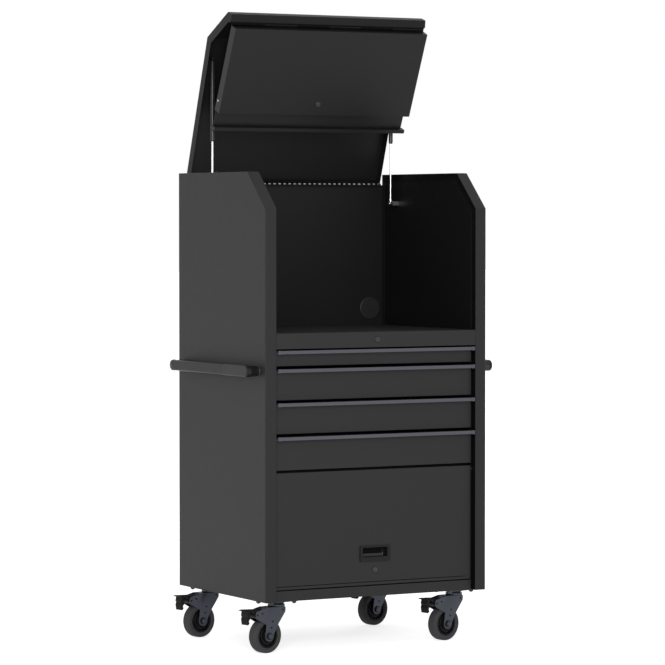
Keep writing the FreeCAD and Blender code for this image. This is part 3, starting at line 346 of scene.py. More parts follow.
@dataclass(frozen=True)
class Finish:
    """One surface finish.

    Attributes:
        name: The finish in plain words.
        slot: The record's material slot that it belongs to.
        colour: The base colour.
        rough: The mean roughness.
        metal: How metallic it is.
        grain: What it looks like close to.
        pitch: Grain features per metre.
        relief: The grain's height in metres.
        mottle: How much the colour drifts over the surface.
        coat: A clear coat's weight.
        coat_rough: That coat's roughness.
        shine: The shader's specular level.
        shade_edge: Up to where a painted shade changes, in metres from zero; 0 leaves it all one colour.
        shade_edge_way: The direction in which that is measured.
        inside: The share of the colour nearer zero than shade_edge. Below one it paints shade on a panel's
            inner side; above one it lightens that part and leaves painted shade beyond the edge.
    """

    name: str
    slot: str
    colour: Point3
    rough: float
    metal: float = 0.0
    grain: Grain = Grain.POWDER
    pitch: float = 1100.0
    relief: float = 0.00003
    mottle: float = 0.12
    coat: float = 0.0
    coat_rough: float = 0.2
    shine: float = 0.5
    shade_edge: float = 0.0
    shade_edge_way: str = "X"
    inside: float = 0.1

    def material(self) -> bpy.types.Material:
        """The Blender material, made once and then shared."""
        ready = bpy.data.materials.get(self.name)
        return ready or self._make()

    def _tone(self, share: float) -> Tuple[float, ...]:
        """The base colour times a share, opaque."""
        return tuple(min(1.0, level * share) for level in self.colour) + OPAQUE

    def _make(self) -> bpy.types.Material:
        """Builds the material's graph.

        Returns:
            The material.
        """
        made = bpy.data.materials.new(self.name)
        made.use_nodes = True
        bench = Bench(made.node_tree)
        fine = self._fine(bench)
        drift = bench.noise(*MOTTLING.drift, bench.place())
        cloud = bench.noise(*MOTTLING.cloud, bench.place())
        patch = drift * MOTTLING.patch[0] + cloud * MOTTLING.patch[1]
        share = patch * MOTTLING.speck[0] + fine * MOTTLING.speck[1]
        speck = bench.blend(share, self._tone(1.0 - self.mottle), self._tone(1.0 + self.mottle))
        # Painted shade: the surface nearer zero than shade_edge takes inside times the colour, and the rest
        # keeps the colour.
        if self.shade_edge > 0.0:
            across = bench.node("ShaderNodeSeparateXYZ", {}, {"Vector": bench.place()})
            before_shade_edge = 1.0 - bench.out(across, self.shade_edge_way).size().above(self.shade_edge)
            speck = bench.blend(before_shade_edge, speck, self._tone(self.inside))
        less, cloudy, grainy = MOTTLING.gloss
        gloss = self.rough - less + cloud * cloudy + fine * grainy
        bump = bench.node("ShaderNodeBump", {}, {"Strength": 1.0, "Distance": self.relief, "Height": fine})
        shader = bench.node("ShaderNodeBsdfPrincipled", {}, {
            "Base Color": speck,
            "Roughness": gloss,
            "Metallic": self.metal,
            "Coat Weight": self.coat,
            "Normal": bench.out(bump),
        })
        shader.inputs["Coat Roughness"].default_value = self.coat_rough
        shader.inputs["Specular IOR Level"].default_value = self.shine
        bench.node("ShaderNodeOutputMaterial", {}, {"Surface": bench.out(shader)})
        return made

    def _fine(self, bench: Bench) -> Sock:
        """The grain's height field.

        Args:
            bench: The material's graph.

        Returns:
            Heights from 0 to 1.
        """
        if self.grain is Grain.DRAWN_X:
            return bench.noise(self.pitch, DRAWN_DETAIL, bench.place((MOTTLING.streak, 1.0, 1.0)))
        if self.grain is Grain.DRAWN_Y:
            return bench.noise(self.pitch, DRAWN_DETAIL, bench.place((1.0, MOTTLING.streak, 1.0)))
        if self.grain is Grain.RUBBED:
            return bench.noise(self.pitch, RUBBED_DETAIL, bench.place())
        if self.grain is Grain.MOULDED:
            layers = MOULDED_LAYERS
            cells = bench.node("ShaderNodeTexVoronoi", {}, {"Vector": bench.place(), "Scale": self.pitch})
            pits = bench.noise(self.pitch * layers.spread, layers.detail, bench.place())
            return bench.out(cells, "Distance") * layers.coarse + pits * layers.fine
        layers = PLATED_LAYERS if self.grain is Grain.PLATED else POWDER_LAYERS
        coarse = bench.noise(self.pitch * layers.spread, LAYER_DETAIL, bench.place())
        return coarse * layers.coarse + bench.noise(self.pitch, layers.detail, bench.place()) * layers.fine


# Where a panel's painted shade changes, in metres
STILE_INSIDE = 0.3346
REAR_SKIN = 0.2612
LID_DOOR_TOP = 1.808

CHARCOAL = (0.021, 0.021, 0.0215)
NEAR_BLACK = (0.0035, 0.0035, 0.0036)


@dataclass(frozen=True)
class Finishes:
    """Every finish on the trolley."""

    body: Finish = Finish("charcoal_powder_coat", "body_paint", CHARCOAL, 0.5, shine=0.22)
    # Side panels: the stile's inner return, nearer the middle than STILE_INSIDE, takes a tenth of the colour
    # as painted shade.
    side: Finish = Finish("side_powder_coat", "body_paint", CHARCOAL, 0.5, shine=0.2, shade_edge=STILE_INSIDE)
    # Lid shell and fixed hinge leaf: a darker copy of the charcoal body paint, painted shade for the lid's
    # less lit panels.
    lid: Finish = Finish("lid_powder_coat", "body_paint", (0.011, 0.011, 0.0113), 0.48, shine=0.14)
    # Rear panel: the inner skin, nearer the middle than REAR_SKIN, takes 0.55 of the colour as painted
    # shade.
    back: Finish = Finish("back_powder_coat", "body_paint", CHARCOAL, 0.5, shine=0.16, shade_edge=REAR_SKIN,
                          shade_edge_way="Y", inside=0.55)
    top: Finish = Finish("worktop_powder_coat", "body_paint", (0.024, 0.024, 0.0245), 0.48, shine=0.2)
    # Lid door: a darker copy of the charcoal front paint, as painted shade. The strip above LID_DOOR_TOP
    # stays near black, painted shade at its hinge, and the door below takes 3.57 times near black.
    lid_front: Finish = Finish("lid_front_powder_coat", "front_paint", NEAR_BLACK, 0.4, shine=0.18,
                               shade_edge=LID_DOOR_TOP, shade_edge_way="Z", inside=3.57)
    front: Finish = Finish("front_powder_coat", "front_paint", CHARCOAL, 0.46, shine=0.22)
    inner: Finish = Finish("inner_powder_coat", "inner_paint", (0.0062, 0.0062, 0.0065), 0.55, shine=0.12)
    strip: Finish = Finish("anodised_strip", "pull_strip", (0.085, 0.083, 0.1), 0.36, 0.85,
                           Grain.DRAWN_X, 1500.0, 0.00001)
    plastic: Finish = Finish("black_moulding", "black_plastic", (0.011, 0.011, 0.0114), 0.34, 0.0,
                             Grain.MOULDED, 1400.0, shine=0.16)
    post: Finish = Finish("satin_black_post", "black_plastic", (0.03, 0.03, 0.031), 0.26, 0.6,
                          Grain.PLATED, 900.0, 0.00001)
    # Near-black steel: painted shade on the lid's front hinge hardware and on the lid's hinge knuckles,
    # which sit in dark gaps.
    shade: Finish = Finish("blackened_steel", "zinc_steel", NEAR_BLACK, 0.6, 0.0, Grain.PLATED, 900.0,
                           0.00001, shine=0.06)
    grip: Finish = Finish("brushed_dark_grip", "black_plastic", (0.013, 0.013, 0.0135), 0.3, 0.0,
                          Grain.DRAWN_Y, 1300.0, 0.00002, shine=0.12)
    zinc: Finish = Finish("zinc_plate", "zinc_steel", (0.52, 0.53, 0.55), 0.32, 1.0, Grain.PLATED, 900.0,
                          0.00001)
    chrome: Finish = Finish("polished_chrome", "chrome", (0.78, 0.78, 0.8), 0.12, 1.0, Grain.PLATED, 700.0,
                            0.000004, 0.03)
    barrel: Finish = Finish("dark_lock_barrel", "chrome", (0.02, 0.02, 0.021), 0.3, 0.4, Grain.PLATED,
                            900.0, 0.000006)
    plug: Finish = Finish("satin_lock_plug", "chrome", (0.06, 0.06, 0.062), 0.36, 0.9, Grain.PLATED, 900.0,
                          0.000008)
    caster: Finish = Finish("caster_plate_coat", "caster_steel", (0.05, 0.054, 0.07), 0.34, 0.7,
                            Grain.PLATED, 900.0, 0.00002)
    tyre: Finish = Finish("tyre_rubber", "tyre_rubber", (0.009, 0.009, 0.0093), 0.7, 0.0, Grain.RUBBED,
                          1200.0, shine=0.02)
    centre: Finish = Finish("wheel_moulding", "wheel_centre", (0.006, 0.006, 0.0063), 0.45, 0.0,
                            Grain.MOULDED, 1600.0, shine=0.1)
    bush: Finish = Finish("bush_rubber", "rubber", (0.022, 0.022, 0.0222), 0.45, 0.0, Grain.RUBBED, 1000.0,
                          shine=0.3)
    # Near black: painted shadow in the hem's groove, and painted shade on the paddle's flap deep in its
    # dish.
    rubber: Finish = Finish("soft_rubber", "rubber", (0.004, 0.004, 0.004), 0.65, 0.0, Grain.RUBBED, 1000.0,
                            shine=0.06)
    tube: Finish = Finish("strut_tube_gloss", "strut_paint", (0.02, 0.02, 0.021), 0.2, 0.0, Grain.PLATED,
                          800.0, 0.000004, coat=0.1, shine=0.3)


FINISHES = Finishes()


# Mesh work
class Form:
    """A mesh under construction, in millimetres."""

    def __init__(self) -> None:
        """Starts empty."""
        self.mesh = bmesh.new()

    def prism(self, outline: Sequence[Point2], axis: Axis, low: float, high: float) -> "Form":
        """Pushes an outline along an axis.

        Args:
            outline: Points in the two other axes, in X, Y, Z order.
            axis: The direction.
            low: Where it starts.
            high: Where it ends.

        Returns:
            This form.
        """
        rings = [[self.mesh.verts.new(self._spot(axis, along, pair)) for pair in outline]
                 for along in (low, high)]
        count = len(outline)
        for index in range(count):
            after = (index + 1) % count
            self.mesh.faces.new((rings[0][index], rings[0][after], rings[1][after], rings[1][index]))
        self.mesh.faces.new(rings[0])
        self.mesh.faces.new(rings[1])
        return self

    def block(self, low: Point3, high: Point3) -> "Form":
        """Adds a block between two corners."""
        outline = [(low[0], low[1]), (high[0], low[1]), (high[0], high[1]), (low[0], high[1])]
        return self.prism(outline, Axis.Z, low[2], high[2])

    def lathe(self, profile: Sequence[Point2], axis: Axis, centre: Point2, steps: int = Facets.ROUND,
              closed: bool = True) -> "Form":
        """Turns a profile about an axis.

        Args:
            profile: Pairs of distance along the axis and radius.
            axis: The turning axis.
            centre: Where the axis stands in the two other axes.
            steps: Segments round the circle.
            closed: Whether the last point joins the first, for a ring.

        Returns:
            This form.
        """
        rings = []
        for along, radius in profile:
            if radius < ON_AXIS:
                rings.append([self.mesh.verts.new(self._spot(axis, along, centre))])
                continue
            ring = []
            for step in range(steps):
                angle = 2.0 * math.pi * step / steps
                pair = (centre[0] + radius * math.cos(angle), centre[1] + radius * math.sin(angle))
                ring.append(self.mesh.verts.new(self._spot(axis, along, pair)))
            rings.append(ring)
        pairs = list(zip(rings, rings[1:] + rings[:1])) if closed else list(zip(rings, rings[1:]))
        for first, second in pairs:
            self._bridge(first, second, steps)
        return self

    def _bridge(self, first: List[bmesh.types.BMVert], second: List[bmesh.types.BMVert],
                steps: int) -> None:
        """Joins two rings with faces.

        Args:
            first: One ring, or a single point on the axis.
            second: The next one.
            steps: Segments round the circle.
        """
        if len(first) == 1 and len(second) == 1:
            return
        for step in range(steps):
            after = (step + 1) % steps
            if len(first) == 1:
                self.mesh.faces.new((first[0], second[after], second[step]))
            elif len(second) == 1:
                self.mesh.faces.new((first[step], first[after], second[0]))
            else:
                self.mesh.faces.new((first[step], first[after], second[after], second[step]))

    @staticmethod
    def _spot(axis: Axis, along: float, pair: Point2) -> Vector:
        """A point from its place along an axis and across it."""
        spot = list(pair)
        spot.insert(axis.value, along)
        return Vector(spot)

    def sheet(self, points: Sequence[Point3], faces: Sequence[Sequence[int]], shift: Point3) -> "Form":
        """Adds a pressed sheet: its faces, the same faces one thickness away, and the edges between.

        Args:
            points: The corners.
            faces: The corners of each face, by number.
            shift: The way from one side of the sheet to the other.

        Returns:
            This form.
        """
        front = [self.mesh.verts.new(Vector(point)) for point in points]
        back = [self.mesh.verts.new(Vector(point) + Vector(shift)) for point in points]
        rims: Dict[frozenset, Tuple[int, int]] = {}
        for face in faces:
            self.mesh.faces.new([front[index] for index in face])
            self.mesh.faces.new([back[index] for index in reversed(face)])
            for first, second in zip(face, list(face[1:]) + [face[0]]):
                key = frozenset((first, second))
                if key in rims:
                    del rims[key]
                else:
                    rims[key] = (first, second)
        for first, second in rims.values():
            self.mesh.faces.new((front[second], front[first], back[first], back[second]))
        return self

    def moved(self, matrix: Matrix) -> "Form":
        """Carries everything made so far."""
        bmesh.ops.transform(self.mesh, matrix=matrix, verts=self.mesh.verts)
        return self

    def join(self, other: "Form") -> "Form":
        """Takes in another form.

        Args:
            other: The form, which is used up.

        Returns:
            This form.
        """
        spare = bpy.data.meshes.new("spare")
        other.mesh.to_mesh(spare)
        other.mesh.free()
        self.mesh.from_mesh(spare)
        bpy.data.meshes.remove(spare)
        return self

    def mirrored(self) -> "Form":
        """Flips everything made so far to the other side of the middle plane."""
        return self.moved(Matrix.Scale(-1.0, 4, (1.0, 0.0, 0.0)))

    def piece(self, name: str, finish: Finish, body: str, bevel: float = 0.0,
              stands_for: Sequence[str] = ()) -> bpy.types.Object:
        """Turns the form into a piece that rides on a body.

        Args:
            name: The piece's name.
            finish: Its finish.
            body: The body that carries it.
            bevel: How far its sharp edges are rounded.
            stands_for: The nodes that it replaces.

        Returns:
            The new object.
        """
        self.moved(Matrix.Scale(MILLIMETRE, 4))
        bmesh.ops.recalc_face_normals(self.mesh, faces=self.mesh.faces)
        data = bpy.data.meshes.new(name)
        self.mesh.to_mesh(data)
        self.mesh.free()
        data.shade_smooth()
        data.set_sharp_from_angle(angle=math.radians(SHARP_ABOVE))
        made = bpy.data.objects.new(name, data)
        bpy.context.scene.collection.objects.link(made)
        data.materials.append(finish.material())
        if bevel > 0.0:
            round_edges(made, bevel)
        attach(made, body)
        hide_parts(*stands_for)
        LOG.info("made %s", name)
        return made


def round_edges(piece: bpy.types.Object, width: float) -> None:
    """Rounds a piece's sharp edges.

    Args:
        piece: The piece.
        width: How far the edges are rounded, in millimetres.
    """
    rounder = piece.modifiers.new("rounded edges", "BEVEL")
    rounder.width = width * MILLIMETRE
    rounder.segments = ROUNDING_STEPS
    rounder.limit_method = "ANGLE"
    rounder.angle_limit = math.radians(ROUNDED_ABOVE)


def ring(radius: float, steps: int, centre: Point2 = (0.0, 0.0), start: float = 0.0,
         sweep: float = 360.0) -> List[Point2]:
    """Points along a circle or an arc.

    Args:
        radius: The circle's radius.
        steps: How many points; an arc gets one more, so that both ends are there.
        centre: The middle.
        start: Where it starts, in degrees.
        sweep: How far it goes, in degrees.

    Returns:
        The points.
    """
    count = steps if abs(sweep) == 360.0 else steps + 1
    angles = [math.radians(start + sweep * step / steps) for step in range(count)]
    return [(centre[0] + radius * math.cos(angle), centre[1] + radius * math.sin(angle)) for angle in angles]


def both_sides(half: Sequence[Point2]) -> List[Point2]:
    """A profile and its mirror image, for a part that is the same on both sides of its middle."""
    return list(half) + [(-along, radius) for along, radius in reversed(half)]


def rounded_box(half_a: float, half_b: float, radius: float) -> List[Point2]:
    """A rectangle about the middle with rounded corners.

    Args:
        half_a: Half its size along the first axis.
        half_b: Half its size along the second.
        radius: The corners' radius.

    Returns:
        The outline.
    """
    outline: List[Point2] = []
    for start, sign_a, sign_b in ((0.0, 1, 1), (90.0, -1, 1), (180.0, -1, -1), (270.0, 1, -1)):
        centre = (sign_a * (half_a - radius), sign_b * (half_b - radius))
        outline += ring(radius, CORNER_STEPS, centre, start, 90.0)
    return outline


@dataclass
class Cabinet:
    """The sheet-metal nodes that keep their solid and get a finish."""

    coats: Dict[str, Tuple[str, ...]] = field(default_factory=lambda: {
        "side": ("left_side_panel", "right_side_panel"),
        "body": ("base_pan",),
        "back": ("rear_panel",),
        "top": ("worktop",),
        # lid, lid_front and shade are darker copies of the body paint, the front paint and the steel:
        # painted shade.
        "lid": ("lid_shell", "lid_hinge_fixed_leaf"),
        "shade": ("lid_hardware",),
        "lid_front": ("lid_door_panel",),
        "inner": ("side_liners", "mid_shelf"),
        "front": ("lower_door_panel", "drawer_1_box", "drawer_2_box", "drawer_3_box", "drawer_4_box"),
        "strip": ("drawer_1_pull", "drawer_2_pull", "drawer_3_pull", "drawer_4_pull"),
        "zinc": ("runner_channels", "drawer_1_runners", "drawer_2_runners", "drawer_3_runners",
                 "drawer_4_runners", "pivot_pins", "lid_bolt_left", "lid_bolt_right"),
        "plastic": ("paddle_housing",),
        "plug": ("fascia_lock_plug", "lid_door_lock_plug", "lower_lock_plug"),
    })

    def dress(self, nodes: Dict[str, bpy.types.Object]) -> None:
        """Gives each node its finish.

        Args:
            nodes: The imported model's nodes.
        """
        for coat, names in self.coats.items():
            finish: Finish = getattr(FINISHES, coat)
            for name in names:
                self.paint(nodes[name], finish)

    @staticmethod
    def paint(node: bpy.types.Object, finish: Finish) -> None:
        """Puts one finish on a node and takes the sharpness off its edges."""
        node.data.materials.clear()
        node.data.materials.append(finish.material())
        round_edges(node, EDGE_ROUNDING)


@dataclass
class Caster:
    """A braked swivel caster, drawn about its swivel axis with the wheel trailing along +X.

    The outlines of its sheet parts are in X and Z. Profiles give a height or a way out, then a radius.
    """

    places: Places
    name: str
    cheek_inner: float = 18.5
    cheek_sheet: float = 2.5
    arm_inset: float = 2.0
    plate_half: Point2 = (52.5, 40.0)
    plate_corner: float = 6.0
    plate_sheet: float = 3.0
    bolt_spread: Point2 = (42.0, 30.0)
    washer: Tuple[Point2, ...] = ((147.0, 0.0), (147.0, 8.0), (146.0, 8.0), (146.0, 0.0))
    nut_radius: float = 7.0
    nut_height: Point2 = (141.8, 146.0)
    bolt_end: Tuple[Point2, ...] = ((142.0, 3.0), (140.2, 3.0), (139.6, 2.4), (139.6, 0.0))
    race: Tuple[Point2, ...] = (
        (147.0, 6.5), (147.0, 24.6), (144.6, 25.0), (142.2, 22.8), (140.6, 20.6), (139.4, 20.6),
        (139.0, 24.2), (138.2, 25.0), (134.4, 25.0), (133.4, 24.0), (133.4, 6.5))
    kingpin: Tuple[Point2, ...] = ((147.0, 6.0), (128.5, 6.0), (128.5, 0.0))
    crown_middle: float = 15.5
    crown_half: Point2 = (33.5, 20.6)
    crown_corner: float = 5.0
    hub_radius: float = 15.5
    hub_start: float = 8.0
    hub_sweep: float = -196.0
    leg: Tuple[Point2, ...] = (
        (8.0, 84.0), (-17.0, 117.0), (-18.0, 121.0), (-18.0, 131.5), (22.0, 131.5), (45.0, 112.0),
        (53.0, 84.0))
    arm: Tuple[Point2, ...] = (
        (56.5, 85.5), (86.0, 101.5), (90.0, 105.0), (91.0, 109.0), (91.0, 117.0), (90.0, 121.0),
        (86.0, 124.5), (50.0, 132.8), (29.0, 132.8), (49.5, 113.5))
    leg_rivets: Tuple[Point2, ...] = ((-8.0, 124.0), (30.0, 92.0), (34.0, 74.0))
    arm_rivet: Point2 = (66.0, 117.0)
    rivet: Tuple[Point2, ...] = ((-0.4, 3.0), (0.5, 2.8), (1.1, 1.8), (1.3, 0.0))
    axle_washer: Tuple[Point2, ...] = ((0.0, 0.0), (0.0, 9.6), (1.2, 9.2), (1.2, 0.0))
    axle_seal: Tuple[Point2, ...] = ((1.1, 10.6), (1.4, 10.4), (1.4, 8.2), (1.1, 8.0))
    axle_nut_radius: float = 8.0
    axle_nut_turn: float = 15.0
    axle_nut_out: Point2 = (1.2, 4.8)
    axle_end: Tuple[Point2, ...] = ((4.0, 4.4), (5.6, 4.4), (6.0, 3.6), (6.0, 0.0))
    axle_half: float = 18.4
    axle_radius: float = 4.9
    pedal_pin_half: float = 17.4
    pedal_pin_radius: float = 2.9
    tread: Tuple[Point2, ...] = (
        (-12.5, 35.2), (-14.2, 36.2), (-15.3, 38.0), (-15.5, 39.6), (-14.9, 40.0), (-14.9, 40.7),
        (-15.6, 41.1), (-16.0, 43.0), (-15.8, 44.6), (-15.1, 45.0), (-15.1, 45.7), (-15.5, 46.1),
        (-14.6, 48.0), (-12.8, 49.3), (-10.5, 49.9), (-7.0, 50.0), (-6.7, 49.4), (-6.0, 49.4), (-5.7, 50.0))
    centre: Tuple[Point2, ...] = (
        (-16.0, 5.1), (-16.0, 9.5), (-15.2, 10.4), (-15.2, 15.0), (-14.4, 16.2), (-10.5, 16.8),
        (-10.2, 18.2), (-12.4, 19.0), (-13.2, 20.4), (-13.2, 24.2), (-12.2, 25.6), (-6.5, 26.2),
        (-6.5, 29.8), (-13.4, 30.6), (-14.4, 31.6), (-14.4, 33.6), (-13.4, 34.9))
    ribs: int = 4
    rib_reach: Point2 = (25.6, 31.0)
    rib_half: Point2 = (12.2, 1.6)
    pedal_half: float = 16.0
    tread_plate: Tuple[Point2, ...] = (
        (-32.0, 10.6), (-31.6, 13.0), (-12.0, 14.6), (37.0, 17.0), (42.6, 16.0), (42.8, 14.2), (37.0, 13.8),
        (-12.0, 11.4))
    release_tab: Tuple[Point2, ...] = (
        (22.5, 14.0), (34.0, 14.4), (33.6, 9.0), (35.6, 1.0), (33.0, -4.0), (35.4, -10.0), (32.6, -26.6),
        (26.4, -22.8), (28.6, -14.0), (25.0, -10.5), (24.0, -2.0))
    pedal_cheek: Tuple[Point2, ...] = (
        (-31.0, 11.6), (-31.0, 3.4), (-25.6, -4.0), (-18.0, -5.4), (-4.0, -4.0), (8.0, 3.0), (16.0, 7.5),
        (22.0, 14.0), (-12.0, 12.6))
    pedal_cheek_inset: Point2 = (0.6, 3.0)
    shoe: Tuple[Point2, ...] = ((-30.6, 3.4), (-25.6, -4.6), (-18.0, -6.6), (-12.0, -6.0), (-14.0, 3.0))
    shoe_inset: float = 2.0
    tab_inset: float = 1.5
    pedal_hub: Point2 = (3.05, 8.6)
    pedal_hub_inset: float = 0.5
    plate_edge: float = 0.4
    fork_edge: float = 0.5
    pedal_edge: float = 0.35
    ridges: int = 8
    ridge_start: Point2 = (-24.0, 14.2)
    ridge_pitch: float = 8.0
    ridge_rise: float = 0.048
    ridge_half: float = 1.0
    ridge_height: float = 0.45
    spot: Vector = field(init=False)
    heading: float = field(init=False)
    axle: Point2 = field(init=False)
    pedal_pivot: Point2 = field(init=False)
    fork_top: float = field(init=False)
    plate_top: float = field(init=False)

    def __post_init__(self) -> None:
        """Reads its place, heading and pivots from its joints, and the plate's top from the solid."""
        swivel, wheel, pedal = (self.places.pivot(f"{self.name}_{turn}") for turn in
                                ("swivel", "roll", "pedal_turn"))
        across = self.places.axis(f"{self.name}_roll")
        self.spot = Vector((swivel.x, swivel.y, 0.0))
        self.heading = math.atan2(-across.x, across.y)
        self.axle = ((wheel - swivel).xy.length, wheel.z)
        self.pedal_pivot = ((pedal - swivel).xy.length, pedal.z)
        self.fork_top = swivel.z
        self.plate_top = self.places.box("caster_plates")[1].z

    def build(self) -> None:
        """Makes its pieces."""
        self._plate()
        self._fork()
        self._tyre()
        self._centre()
        self._pedal()

    def _set(self, form: Form, kind: str, finish: Finish, body: str, bevel: float, stands_for: str) -> None:
        """Turns a piece to its resting heading and sets it under the cabinet.

        Args:
            form: The piece, drawn about the swivel axis.
            kind: What it is.
            finish: Its finish.
            body: The body that carries it.
            bevel: How far its edges are rounded.
            stands_for: The node that it replaces.
        """
        form.moved(Matrix.Translation(self.spot) @ Matrix.Rotation(self.heading, 4, "Z"))
        form.piece(f"{self.name}_{kind}_fine", finish, body, bevel, (stands_for,))

    def _plate(self) -> None:
        """The fixed top plate with its race and four bolts."""
        outline = rounded_box(*self.plate_half, self.plate_corner)
        form = Form().prism(outline, Axis.Z, self.plate_top - self.plate_sheet, self.plate_top)
        form.lathe(self.race, Axis.Z, (0.0, 0.0))
        form.lathe(self.kingpin, Axis.Z, (0.0, 0.0), closed=False)
        along, across = self.bolt_spread
        for bolt in ((-along, -across), (-along, across), (along, -across), (along, across)):
            form.lathe(self.washer, Axis.Z, bolt, Facets.BOLT, False)
            form.prism(ring(self.nut_radius, HEXAGON, bolt), Axis.Z, *self.nut_height)
            form.lathe(self.bolt_end, Axis.Z, bolt, Facets.PIN, False)
        self._set(form, "plate", FINISHES.caster, "cabinet", self.plate_edge, "caster_plates")

    def _cheek(self, side: int) -> Tuple[List[Point3], List[List[int]], Point3]:
        """One pressed cheek: the leg, a joggle and the arm that is set back beside the tyre.

        Args:
            side: 1 or -1, the side of the wheel.

        Returns:
            The corners, the faces and the sheet's thickness.
        """
        outer = side * (self.cheek_inner + self.cheek_sheet)
        inset = side * (self.cheek_inner + self.cheek_sheet - self.arm_inset)
        hub = ring(self.hub_radius, HUB_STEPS, self.axle, self.hub_start, self.hub_sweep)
        leg = hub + list(self.leg)
        points = [(x, outer, z) for x, z in leg] + [(x, inset, z) for x, z in self.arm]
        count = len(leg)
        low, bend, high = count - 1, count - 2, count - 3
        arm_low, arm_bend, arm_high = count, len(points) - 1, len(points) - 2
        faces = [list(range(count)), list(range(count, len(points))),
                 [low, arm_low, arm_bend, bend], [bend, arm_bend, arm_high, high]]
        return points, faces, (0.0, -side * self.cheek_sheet, 0.0)

    @staticmethod
    def _outward(profile: Sequence[Point2], face: float, side: int) -> List[Point2]:
        """A profile that starts on a face and points away from the wheel."""
        return [(face + side * out, radius) for out, radius in profile]

    def _fork(self) -> None:
        """The fork with its crown, axle nuts and rivets."""
        form = Form()
        rivets = Form()
        for side in (-1, 1):
            form.sheet(*self._cheek(side))
            outer = side * (self.cheek_inner + self.cheek_sheet)
            form.lathe(self._outward(self.axle_washer, outer, side), Axis.Y, self.axle, Facets.WASHER, False)
            nut = ring(self.axle_nut_radius, HEXAGON, self.axle, self.axle_nut_turn)
            form.prism(nut, Axis.Y, *sorted(outer + side * out for out in self.axle_nut_out))
            form.lathe(self._outward(self.axle_end, outer, side), Axis.Y, self.axle, Facets.PIN, False)
            for spot in self.leg_rivets:
                rivets.lathe(self._outward(self.rivet, outer, side), Axis.Y, spot, Facets.RIVET, False)
            arm = outer - side * self.arm_inset
            for spot in (self.arm_rivet, self.pedal_pivot):
                rivets.lathe(self._outward(self.rivet, arm, side), Axis.Y, spot, Facets.RIVET, False)
            rivets.lathe(self._outward(self.axle_seal, outer, side), Axis.Y, self.axle, Facets.WASHER)
        crown = [(x + self.crown_middle, y) for x, y in rounded_box(*self.crown_half, self.crown_corner)]
        form.prism(crown, Axis.Z, self.fork_top - self.cheek_sheet, self.fork_top)
        for half, radius, centre, steps in (
                (self.axle_half, self.axle_radius, self.axle, Facets.BOLT),
                (self.pedal_pin_half, self.pedal_pin_radius, self.pedal_pivot, Facets.PIN)):
            form.lathe(((-half, radius), (half, radius)), Axis.Y, centre, steps, False)
        fork = f"{self.name}_fork"
        self._set(form, "fork", FINISHES.caster, fork, self.fork_edge, fork)
        # The rivet heads are real parts. Their near-black colour is painted shade of the dark holes seen at
        # the rivets, and the ring round the axle shares their finish.
        self._set(rivets, "rivets", FINISHES.centre, fork, 0.0, fork)

    def _tyre(self) -> None:
        """The tyre, with rounded shoulders and moulded lines."""
        form = Form().lathe(both_sides(self.tread), Axis.Y, self.axle, Facets.WHEEL)
        self._set(form, "tyre", FINISHES.tyre, f"{self.name}_wheel", 0.0, f"{self.name}_tyre")

    def _centre(self) -> None:
        """The wheel centre: hub, raised ring and a deep groove crossed by ribs."""
        form = Form().lathe(both_sides(self.centre), Axis.Y, self.axle, Facets.WHEEL)
        near, far = self.rib_reach
        wide, thick = self.rib_half
        hub = Matrix.Translation((self.axle[0], 0.0, self.axle[1]))
        for step in range(self.ribs):
            rib = Form().block((near, -wide, -thick), (far, wide, thick))
            form.join(rib.moved(hub @ Matrix.Rotation(math.tau * step / self.ribs, 4, "Y")))
        wheel = f"{self.name}_wheel"
        self._set(form, "wheel", FINISHES.centre, wheel, 0.0, wheel)

    def _across_pedal(self, form: Form, outline: Sequence[Point2], low: float, high: float) -> None:
        """Adds a slab to the pedal, with its outline drawn about the rivet."""
        x, z = self.pedal_pivot
        form.prism([(x + along, z + up) for along, up in outline], Axis.Y, low, high)

    def _pedal(self) -> None:
        """The brake pedal: a thin tread plate, a hub on the rivet, a shoe and a notched release tab."""
        half = self.pedal_half
        form = Form()
        self._across_pedal(form, self.tread_plate, -half, half)
        self._across_pedal(form, self.release_tab, -half + self.tab_inset, half - self.tab_inset)
        bore, radius = self.pedal_hub
        end = half - self.pedal_hub_inset
        form.lathe(((-end, bore), (-end, radius), (end, radius), (end, bore)), Axis.Y, self.pedal_pivot,
                   Facets.EYE)
        for side in (-1, 1):
            low, high = sorted(side * (half - inset) for inset in self.pedal_cheek_inset)
            self._across_pedal(form, self.pedal_cheek, low, high)
        self._across_pedal(form, self.shoe, -half + self.shoe_inset, half - self.shoe_inset)
        start, base = self.ridge_start
        for step in range(self.ridges):
            middle = start + step * self.ridge_pitch
            height = base + (middle - start) * self.ridge_rise
            left, right = middle - self.ridge_half, middle + self.ridge_half
            foot, top = height - self.ridge_half, height + self.ridge_height
            self._across_pedal(form, [(left, foot), (right, foot), (right, top), (left, top)],
                               -half + self.tab_inset, half - self.tab_inset)
        pedal = f"{self.name}_pedal"
        self._set(form, "pedal", FINISHES.centre, pedal, self.pedal_edge, pedal)


